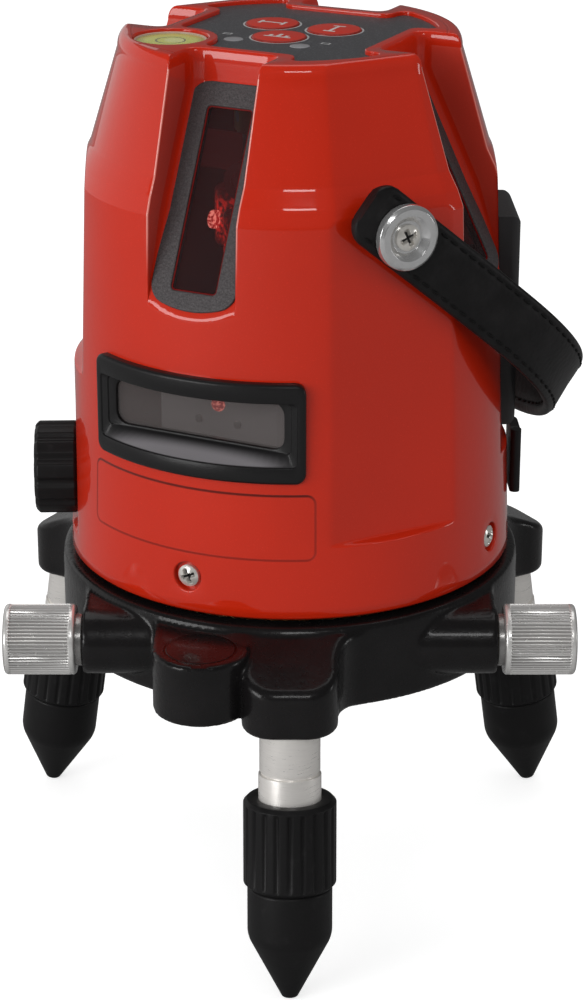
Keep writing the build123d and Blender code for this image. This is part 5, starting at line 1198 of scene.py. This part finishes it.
class LEVEL_OT_screws(bpy.types.Operator):
    """Screws and washers: domed heads with a pressed cross, dark bars as painted shade in the crosses, and
    washers turned about the strap's axis.
    """

    bl_idname = "level.screws"
    bl_label = "Screws and washers"

    def execute(self, context):
        case = screw_head(2.6, 0.9, 0.8)
        pivot = screw_head(2.95, 0.5, 0.85)
        washer = (
            (1.6, 53.03), (7.4, 53.03), (7.4, 55.0), (6.6, 55.63), (5.1, 55.63), (3.7, 54.1), (1.6, 54.1),
        )
        washer = lathe(rounded(washer, (0.3, 0.3, 0.35, 0.3, 0.2), 6), 72)
        pivots = (STRAP_AZ, STRAP_AZ - 180)
        turns = zip(SLOTS.values(), SCREW_TILTS)
        case_seats = [screw_seat(azimuth, tilt, SCREW_SEAT, SCREW_Z) for azimuth, tilt in turns]
        pivot_seats = [screw_seat(azimuth, PIVOT_TILT, PIVOT_SEAT, STRAP_Z) for azimuth in pivots]
        # Dark bars in each cross: painted shade in the recess
        shade_bars = []
        for seats, top, low in ((case_seats, 0.68, 0.1), (pivot_seats, 0.34, -0.2)):
            shade_bars += [set_in(bar, *seat) for seat in seats for bar in screw_cross_shade(top, low)]
        cases = [set_in(case, *seat) for seat in case_seats]
        rings = [facing(washer, a, 0.0, STRAP_Z) for a in pivots]
        heads = [set_in(pivot, *seat) for seat in pivot_seats]
        piece("case_screws", cases, "nickel", "head", ("shell_screws",), False)
        piece("pivot_washers", rings, "washer", "head", ("strap_washers",), False)
        piece("pivot_screws", heads, "nickel", "head", ("strap_screws",), False)
        piece("screw_crosses", shade_bars, "plastic", "head", (), False)
        return {"FINISHED"}


def strap_line():
    """Middle line of the bent strap in its plane, and its normals: leg, tight bend, wide back, mirrored."""
    bend = STRAP_TURN
    middle = STRAP_REACH - STRAP_BEND
    wide = (middle + STRAP_BEND * cos(bend)) / cos(bend)
    wide_y = STRAP_LEG + STRAP_BEND * sin(bend) - wide * sin(bend)
    lead = np.concatenate((np.linspace(STRAP_TAIL, -9.0, 10), np.linspace(-9.0, STRAP_LEG, 36)[1:]))
    leg = np.stack((np.full(len(lead), STRAP_REACH), lead), -1)
    t = np.linspace(0, bend, 22)[1:]
    tight = np.stack((middle + STRAP_BEND * np.cos(t), STRAP_LEG + STRAP_BEND * np.sin(t)), -1)
    t = np.linspace(bend, pi / 2, 28)[1:]
    back = np.stack((wide * np.cos(t), wide_y + wide * np.sin(t)), -1)
    half = np.concatenate((leg, tight, back))
    line = np.concatenate((half, (half * np.array((-1.0, 1.0)))[-2::-1]))
    along = np.gradient(line, axis=0)
    along /= np.linalg.norm(along, axis=1, keepdims=True)
    return line, np.stack((along[:, 1], -along[:, 0]), -1)


def sagged(grid):
    """Strap points (out, down, across) in the head's frame, lowered by the fourth power of their way down."""
    out = heading(STRAP_AZ)
    down = heading(STRAP_AZ + 90) * cos(STRAP_DROP) - UP * sin(STRAP_DROP)
    placed = set_in(grid, UP * STRAP_Z, out, down, np.cross(out, down))
    low = SAG + SAG_LOWER_EDGE * np.clip(-grid[..., 2] / STRAP_HALF, 0, 1)
    placed[..., 2] -= low * np.clip(grid[..., 1] / STRAP_END, 0, 1) ** 4
    return placed


class LEVEL_OT_strap(bpy.types.Operator):
    """Carrying strap: a padded section carried along the bent line, with stitches near its edges."""

    bl_idname = "level.strap"
    bl_label = "Carrying strap"

    def execute(self, context):
        line, normal = strap_line()
        step = np.concatenate(((0.0,), np.cumsum(np.linalg.norm(np.diff(line, axis=0), axis=1))))
        end = np.minimum(step, step[-1] - step)
        half = STRAP_HALF * np.sqrt(1 - 0.62 * np.clip(1 - end / 4.5, 0, 1) ** 2.2)
        # Section: a flattened round, |cos|^0.32 wide and |sin|^0.7 thick, grooved under the stitches
        t = np.linspace(0, 2 * pi, 49)[:-1]
        sx = np.sign(np.cos(t)) * np.abs(np.cos(t)) ** 0.32
        sy = np.sign(np.sin(t)) * np.abs(np.sin(t)) ** 0.7
        groove = 0.16 * np.exp(-(((np.abs(sx) - 0.76) / 0.04) ** 2))
        thick = STRAP_THICK * np.sign(sy) * (np.abs(sy) - groove * (np.abs(sy) > 0.5))
        plane = line[:, None] + normal[:, None] * thick[None, :, None]
        across = half[:, None] * sx[None, :]
        grid = np.concatenate((plane, across[..., None]), -1)
        ends = [np.broadcast_to(row.mean(axis=1, keepdims=True), row.shape) for row in (grid[:1], grid[-1:])]
        grid = np.concatenate((ends[0], grid, ends[1]))
        piece("strap_band", [sagged(grid)], "leather", "strap", ("carry_strap",), True, 50.0)
        # Stitches: slim rounded beads laid along the line on both faces
        at = np.arange(5.0, step[-1] - 5.0, STITCH_PITCH)
        runs = (line, normal)
        spots, normals = (np.stack([np.interp(at, step, way) for way in run.T], -1) for run in runs)
        along = np.stack((-normals[:, 1], normals[:, 0]), -1)
        u = np.linspace(0, pi, 5)[:, None]
        v = np.arange(6) * (pi / 3)
        bead_long = (np.cos(u) * (size("stitch") / 2) + 0 * v)[..., None]
        bead_high = (np.sin(u) * 0.32 * np.cos(v))[..., None]
        bead_wide = np.sin(u) * 0.36 * np.sin(v)
        grids = []
        for side in (-1, 1):
            for face in (-1, 1):
                spot = (spots + normals * face * STITCH_UP)[:, None, None]
                flat = spot + along[:, None, None] * bead_long + normals[:, None, None] * bead_high
                wide = side * STITCH_SIDE + bead_wide[None] + 0 * flat[..., 0]
                grids += list(sagged(np.concatenate((flat, wide[..., None]), -1)))
        piece("strap_stitches", grids, "thread", "strap", (), False, 0)
        return {"FINISHED"}


class LEVEL_OT_lock(bpy.types.Operator):
    """Lock knob: a turned cap whose rim is scalloped by a cosine wave round the axis."""

    bl_idname = "level.lock"
    bl_label = "Lock knob"

    def execute(self, context):
        path = (
            (0, 51.62), (10.6, 51.62), (11.25, 52.3), (11.25, 61.0), (10.3, 61.9), (7.4, 61.9), (6.9, 61.5),
            (0, 61.5),
        )

        def scallop(r, h, a):
            """Twelve shallow hollows that fade towards the middle."""
            dip = np.clip(np.cos(12 * a) - 0.2, 0, 1) ** 0.8
            return -1.0 * dip * np.clip((r - 8.5) / 2.0, 0, 1)

        grid = lathe(rounded(path, (0.3, 0.4, 0.7, 0.5, 0.2, 0.2)), 240, scallop)
        grids = [facing(grid, LOCK_AZ, 0.0, LOCK_Z)]
        piece("lock_cap", grids, "foot", "lock", ("lock_knob",))
        clothe("lock_shaft", "steel")
        return {"FINISHED"}


# The base


def cornered(q, radius):
    """Signed distance from how far a point is past each side: |max(q, 0)| + min(max q, 0) - radius."""
    return np.linalg.norm(np.maximum(q, 0), axis=-1) + np.minimum(q.max(axis=-1), 0) - radius


def round_rod(across, along, radius, half, bevel):
    """Signed distance to a rod with round ends' edges."""
    return cornered(np.stack((across - radius + bevel, np.abs(along) - half + bevel), -1), bevel)


def blend_in(a, b, k):
    """Union of two distances with a fillet of about k between them."""
    h = np.clip(0.5 + 0.5 * (b - a) / k, 0, 1)
    return b * (1 - h) + a * h - k * h * (1 - h)


# Casting: heights, lugs, web and boss, and the (radius, height) of its hollow, hub steps and bore
RING_MID_Z = 8.85
RING_HALF_H = 10.15
UNDERSIDE_Z = -1.3
LUG_MIDDLE = 51.3
LUG_HALF = np.array((21.0, 11.0))
LUG_CORNER = 7.5
LUG_FILLET = 9.0
LUG_ROLL = 1.5
WEB_LOW = 1.5
WEB_TOP = 17.45
WEB_RISE = 0.027
WEB_DEEP = 16.0
BOSS_DEEP = 17.0
BOSS_HALF_H = 7.4
BOSS_ROLL = 0.7
HOLLOW = (50.6, 3.0)
HUB = (15.0, 18.0)
HUB_FOOT = (20.0, 7.9)
BUSH_BORE = (12.05, 14.0)
SPINDLE_BORE_R = 9.05
WORM_BORE_R = 5.05


def base_distance(p):
    """Signed distance to the casting in its own axes: ring, lugs, housings and boss, hollowed and bored."""
    x, y, z = np.moveaxis(p, -1, 0)
    r = np.hypot(x, y)
    under = UNDERSIDE_Z - z
    form = round_rod(r, z - RING_MID_Z, BASE_R, RING_HALF_H, 1.0)
    # Lugs with a falling top
    plan = r - BASE_R
    reach = np.full_like(r, -100.0)
    for azimuth in LEGS.values():
        turn = radians(azimuth - 90)
        out = x * cos(turn) + y * sin(turn)
        side = -x * sin(turn) + y * cos(turn)
        past = np.abs(np.stack((out - LUG_MIDDLE, side), -1)) - (LUG_HALF - LUG_CORNER)
        plan = blend_in(plan, cornered(past, LUG_CORNER), LUG_FILLET)
        reach = np.maximum(reach, out)
    fall = (LUG_TOP - LUG_TIP_Z) / (LUG_REACH - BASE_R)
    top = (z - LUG_TOP + np.maximum(reach - BASE_R, 0.0) * fall) / sqrt(1 + fall * fall)
    lugs = cornered(np.stack((plan + LUG_ROLL, np.maximum(top, under) + LUG_ROLL), -1), LUG_ROLL)
    form = blend_in(form, lugs, 1.0)
    # Housings of the fine drive with a web behind
    behind = y + KNOB_OUT
    from_axis = np.hypot(behind, z - KNOB_Z)
    rod = round_rod(from_axis, x, HOUSING_R, HOUSING_HALF, 0.6)
    web = np.maximum(WEB_LOW - z, z - WEB_TOP - WEB_RISE * behind)
    web = np.maximum(web, np.maximum(-behind, behind - WEB_DEEP))
    web = cornered(np.stack((web + 0.3, np.abs(x) - HOUSING_HALF + 0.6), -1), 0.3)
    form = blend_in(form, np.minimum(rod, web), 0.8)
    # Boss
    ahead = y + BOSS_OUT
    from_boss = x - BOSS_SIDE
    plan = np.where(ahead > 0, np.abs(from_boss), np.hypot(from_boss, ahead)) - BOSS_R
    plan = np.maximum(plan, ahead - BOSS_DEEP)
    tall = np.abs(z - KNOB_Z) - BOSS_HALF_H
    boss = cornered(np.stack((plan + BOSS_ROLL, tall + BOSS_ROLL), -1), BOSS_ROLL)
    form = blend_in(form, boss, 1.2)
    # Hollow, hub and bores
    form = np.maximum(form, -np.maximum(r - HOLLOW[0], HOLLOW[1] - z))
    hub, foot, bush = (np.maximum(r - radius, z - top) for radius, top in (HUB, HUB_FOOT, BUSH_BORE))
    form = np.minimum(form, np.maximum(np.minimum(hub, foot), under))
    bores = np.minimum(np.minimum(bush, r - SPINDLE_BORE_R), from_axis - WORM_BORE_R)
    return np.maximum(form, -bores)


def surface_net(distance, low, high, cell):
    """Quads of a distance's zero surface: a point in each cell that it crosses, moved down the slope."""
    axes = [np.arange(a, b + cell, cell) for a, b in zip(low, high)]
    corner = np.stack(np.meshgrid(*axes, indexing="ij"), -1)
    inner = distance(corner) < 0
    nx, ny, nz = (n - 1 for n in inner.shape)
    total = sum(inner[i:nx + i, j:ny + j, k:nz + k].astype(np.int8) for i, j, k in np.ndindex(2, 2, 2))
    live = (total > 0) & (total < 8)
    number = np.full(live.shape, -1)
    number[live] = np.arange(live.sum())
    points = corner[:-1, :-1, :-1][live] + cell / 2
    shifts = np.eye(3) * 0.04
    for _ in range(4):
        value = distance(points)
        slope = np.stack([(distance(points + s) - distance(points - s)) / 0.08 for s in shifts], -1)
        slope /= np.maximum((slope**2).sum(axis=1, keepdims=True), 0.05)
        points = points - np.clip(value[:, None] * slope, -cell, cell) * 0.9
    quads = []
    for axis in range(3):
        b, c = (axis + 1) % 3, (axis + 2) % 3
        ahead = np.take(inner, range(1, inner.shape[axis]), axis)
        behind = np.take(inner, range(inner.shape[axis] - 1), axis)
        trim = [slice(None)] * 3
        trim[b] = trim[c] = slice(1, -1)
        index = np.argwhere((ahead != behind)[tuple(trim)])
        index[:, (b, c)] += 1
        ring = []
        for shift in ((-1, -1), (0, -1), (0, 0), (-1, 0)):
            at = index.copy()
            at[:, (b, c)] += shift
            ring.append(number[tuple(at.T)])
        ring = np.stack(ring, -1)
        outward = behind[tuple(index.T)]
        ring[~outward] = ring[~outward][:, ::-1]
        quads.append(ring)
    return points, np.concatenate(quads)


NO_TRIANGLES = np.zeros((0, 3), int)


class LEVEL_OT_base(bpy.types.Operator):
    """Base casting: the zero surface of blended distances to its ring, lugs, worm housings and boss."""

    bl_idname = "level.base"
    bl_label = "Base casting"

    def execute(self, context):
        points, quads = surface_net(base_distance, (-70.4, -75.2, -3.8), (70.4, 58.0, 20.6), 0.8)
        placed = set_in(points, np.zeros(3), heading(BASE_TURN + 90), -heading(BASE_TURN), UP)
        form = (placed, quads, NO_TRIANGLES)
        shape("base_body", form, "cast", "base", ("base_casting",), True, 60.0)
        plug = rounded(((0, 16.0), (8.0, 16.0), (8.0, 17.0), (0, 17.0)), (0, 0.3))
        piece("plug_cap", [lathe(plug) + PLUG], "cast", "base", ("boss_plug",))
        return {"FINISHED"}


class LEVEL_OT_legs(bpy.types.Operator):
    """Legs: post, fluted collar and pointed foot, each a profile turned about the leaning axis."""

    bl_idname = "level.legs"
    bl_label = "Legs"

    def execute(self, context):
        foot = (
            (0, 0.32), (1.8, 0.34), (9.85, 15.8), (9.85, 27.9), (6.5, 27.9), (6.5, 30.4),
            (4.4, 30.4), (4.4, 8.0), (0, 8.0),
        )
        foot = lathe(rounded(foot, (0.7, 7.0, 0.8, 0.0, 0.2, 0.2, 0.0), 9))
        collar = (
            (6.55, 28.0), (9.9, 28.0), (10.75, 28.9), (10.75, 29.6), (10.75, 47.2), (10.75, 48.1),
            (9.9, 49.0), (7.3, 49.0), (7.3, 34.0), (4.05, 34.0), (4.05, 31.0), (6.55, 31.0), (6.55, 28.0),
        )
        depth = size("flute") * 1.5

        def flutes(r, h, a):
            """Twenty-two rounded grooves between the collar's end bands."""
            dip = np.clip(np.cos(22 * a) * 1.6 - 0.35, 0, 1)
            live = np.clip((h - 29.2) / 0.8, 0, 1) * np.clip((47.8 - h) / 0.8, 0, 1) * (r > 9.0)
            return -depth * dip * live

        collar = lathe(rounded(collar, (0.3, 0.3, 0, 0, 0.3, 0.3, 0.3, 0, 0, 0, 0), 4), 264, flutes)
        post = (
            (0, 15.0), (4.0, 15.0), (4.0, 36.0), (7.25, 36.0), (7.25, 54.9), (6.6, 54.95), (6.6, 55.65),
            (7.0, 55.7), (7.0, 69.5), (5.0, 69.5), (5.0, 75.0), (0, 75.0),
        )
        post = lathe(rounded(post, (0, 0, 0, 0.15, 0, 0, 0.15, 0, 0, 0), 4))
        for name, azimuth in LEGS.items():
            out = heading(BASE_TURN + azimuth)
            side = heading(BASE_TURN + azimuth + 90)
            up = out * -sin(LEAN) + UP * cos(LEAN)
            axes = (out * LEG_REACH - UP * STAND_H, np.cross(side, up), side, up)
            parts = (("foot_point", foot, "foot", f"foot_{name}", "foot_black", "foot_tip"),
                     ("collar_ring", collar, "foot", f"collar_{name}", "foot_black", "levelling_collar"),
                     ("post_rod", post, "steel", "base", "steel", "leg_post"))
            for part, grid, kind, body, slot, node in parts:
                piece(f"{part}_{name}", [set_in(grid, *axes)], kind, body, (f"{node}_{name}",))
        return {"FINISHED"}


class LEVEL_OT_knobs(bpy.types.Operator):
    """Fine-drive knobs: a turned profile with straight knurling between smooth end bands."""

    bl_idname = "level.knobs"
    bl_label = "Fine-drive knobs"

    def execute(self, context):
        path = (
            (3.05, 48.57), (6.2, 48.57), (6.2, 50.02), (8.3, 50.02), (8.3, 51.4), (8.3, 51.7), (8.3, 65.2),
            (8.3, 65.5), (8.3, 66.82), (0, 66.82), (0, 63.1), (3.05, 63.1), (3.05, 48.57),
        )
        depth = size("knurl")

        def knurl(r, h, a):
            """Sixty shallow grooves that start and stop at the end bands."""
            live = ((h > 51.6) & (h < 65.3) & (r > 8.2)).astype(float)
            return -depth * live * (0.5 + 0.5 * np.cos(60 * a)) ** 0.6

        grid = lathe(rounded(path, (0.3, 0.0, 0.8, 0, 0, 0, 0, 0.9, 0, 0, 0)), 480, knurl)
        middle = heading(BASE_TURN) * KNOB_OUT + UP * KNOB_Z
        for name, side in (("left", -1), ("right", 1)):
            along = heading(BASE_TURN + 90) * side
            placed = set_in(grid, middle, UP, np.cross(along, UP), along)
            piece(f"knob_grip_{name}", [placed], "alu", "fine_drive", (f"fine_knob_{name}",))
        return {"FINISHED"}


CARRIED = {
    "door": ("battery_door",),
    "plastic": ("dc_cover", "dc_socket", "battery_tray"),
    "brass": ("tripod_bush", "worm_bush_left", "worm_bush_right", "worm_wheel", "gimbal_ring"),
    # The CAD laser modules take the barrels' painted red glow
    "laser": ("laser_modules",),
    "steel": (
        "worm_shaft", "knob_set_screws", "spindle_tube", "spindle_ring", "clutch_spring", "strap_bushes",
    ),
    "inner": ("chassis_plate", "gimbal_hanger", "magnet_block", "pendulum"),
    "board": ("circuit_board",),
    "cell": ("battery_cell",),
}


class LEVEL_OT_carried(bpy.types.Operator):
    """Finishes of the CAD pieces that keep their own shape."""

    bl_idname = "level.carried"
    bl_label = "Carried-over pieces"

    def execute(self, context):
        for kind, nodes in CARRIED.items():
            for node in nodes:
                clothe(node, kind)
        return {"FINISHED"}


# The stage; its lengths are metres

# Lamps: azimuth, distance, height, width, tall side, power, and whether gloss mirrors them
STUDIO = {
    "key_lamp": (-20, 1.3, 0.34, 1.4, 1.2, 9.5, False),
    "front_lamp": (-26, 1.3, 0.32, 0.6, 0.5, 5.0, True),
    "fill_lamp": (85, 1.3, 0.5, 0.8, 1.2, 2.8, False),
    "top_lamp": (200, 0.5, 1.4, 1.3, 0.9, 4.5, True),
    "left_lamp": (-95, 1.2, 0.35, 3.0, 0.8, 3.4, True),
    "right_lamp": (112, 1.2, 0.14, 0.15, 0.3, 0.6, True),
    "edge_lamp": (32, 1.2, 0.95, 0.4, 0.18, 1.8, True),
}
LAMP_AIM = Vector((0, 0, 0.07))
FLOOR_HALF = 4.0
SENSOR = 24.0
CAMERA_AZ = 26.33
CAMERA_AWAY = 0.62014
CAMERA_UP = 0.2742
CAMERA_PITCH = radians(21.59)
CAMERA_ZOOM = 2.7119
CAMERA_SHIFT = 0.0025


def stand(scene, name, data, place, look):
    """Object of a lamp or camera at a place, looking along a vector."""
    obj = bpy.data.objects.new(name, data)
    turn = look.to_track_quat("-Z", "Y").to_matrix().to_4x4()
    obj.matrix_world = Matrix.Translation(place) @ turn
    scene.collection.objects.link(obj)
    return obj


class LEVEL_OT_stage(bpy.types.Operator):
    """Pale floor, soft studio lamps and the camera at the photograph's angle."""

    bl_idname = "level.stage"
    bl_label = "Stage"

    def execute(self, context):
        scene = context.scene
        scene.view_settings.view_transform = "Standard"
        square = np.array(((-1, -1, 0), (1, -1, 0), (1, 1, 0), (-1, 1, 0))) * (FLOOR_HALF / MM)
        form = (square - UP * (STAND_H + 0.05), np.array([[0, 1, 2, 3]]), NO_TRIANGLES)
        floor = shape("floor", form, "floor", closed=False, sharp=0)
        sky = Finish("studio", "worlds", "Background")
        scene.world = sky.material
        kinds = ("Camera", "Glossy", "Transmission")
        rays = (sky.node("ShaderNodeLightPath", output=f"Is {kind} Ray") for kind in kinds)
        seen, mirrored, through = rays
        sky.set(Color=(1.0, 1.0, 1.0), Strength=seen * 0.57 - (mirrored + through) * 0.33 + 0.43)
        for name, (azimuth, away, up, width, tall, power, glossy) in STUDIO.items():
            data = bpy.data.lights.new(name, "AREA")
            data.shape = "RECTANGLE"
            data.size = width
            data.size_y = tall
            data.energy = power
            place = Vector(heading(azimuth) * away + UP * up)
            stand(scene, name, data, place, LAMP_AIM - place).visible_glossy = glossy
        data = bpy.data.cameras.new("camera")
        data.sensor_fit = "VERTICAL"
        data.sensor_height = SENSOR
        data.lens = SENSOR * CAMERA_ZOOM
        data.shift_x = CAMERA_SHIFT
        data.clip_start = 0.01
        data.clip_end = 50.0
        out = heading(CAMERA_AZ)
        look = Vector(-out * cos(CAMERA_PITCH) - UP * sin(CAMERA_PITCH))
        scene.camera = stand(scene, "camera", data, Vector(out * CAMERA_AWAY + UP * CAMERA_UP), look)
        return {"FINISHED"}


PIECES = (
    LEVEL_OT_head,
    LEVEL_OT_slot_frames,
    LEVEL_OT_line_window,
    LEVEL_OT_top,
    LEVEL_OT_screws,
    LEVEL_OT_strap,
    LEVEL_OT_lock,
    LEVEL_OT_base,
    LEVEL_OT_legs,
    LEVEL_OT_knobs,
    LEVEL_OT_carried,
    LEVEL_OT_stage,
)


class LEVEL_PT_panel(bpy.types.Panel):
    """Sidebar panel with every piece of the level."""

    bl_idname = "LEVEL_PT_panel"
    bl_label = "Line laser level"
    bl_space_type = "VIEW_3D"
    bl_region_type = "UI"
    bl_category = "Laser level"

    def draw(self, context):
        for group in (context.scene.level_finishes, context.scene.level_sizes):
            for name in group.__annotations__:
                self.layout.prop(group, name)
        for kind in PIECES:
            self.layout.operator(kind.bl_idname)


CLASSES = (LevelFinishes, LevelSizes, *PIECES, LEVEL_PT_panel)


def register():
    """Register the classes and hang the settings on the scene."""
    for kind in CLASSES:
        bpy.utils.register_class(kind)
    bpy.types.Scene.level_finishes = bpy.props.PointerProperty(type=LevelFinishes)
    bpy.types.Scene.level_sizes = bpy.props.PointerProperty(type=LevelSizes)


def unregister():
    """Take the settings and the classes away again."""
    del bpy.types.Scene.level_sizes
    del bpy.types.Scene.level_finishes
    for kind in reversed(CLASSES):
        bpy.utils.unregister_class(kind)


def main():
    """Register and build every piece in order."""
    register()
    for kind in PIECES:
        group, name = kind.bl_idname.split(".")
        getattr(getattr(bpy.ops, group), name)()


if __name__ == "__main__":
    main()
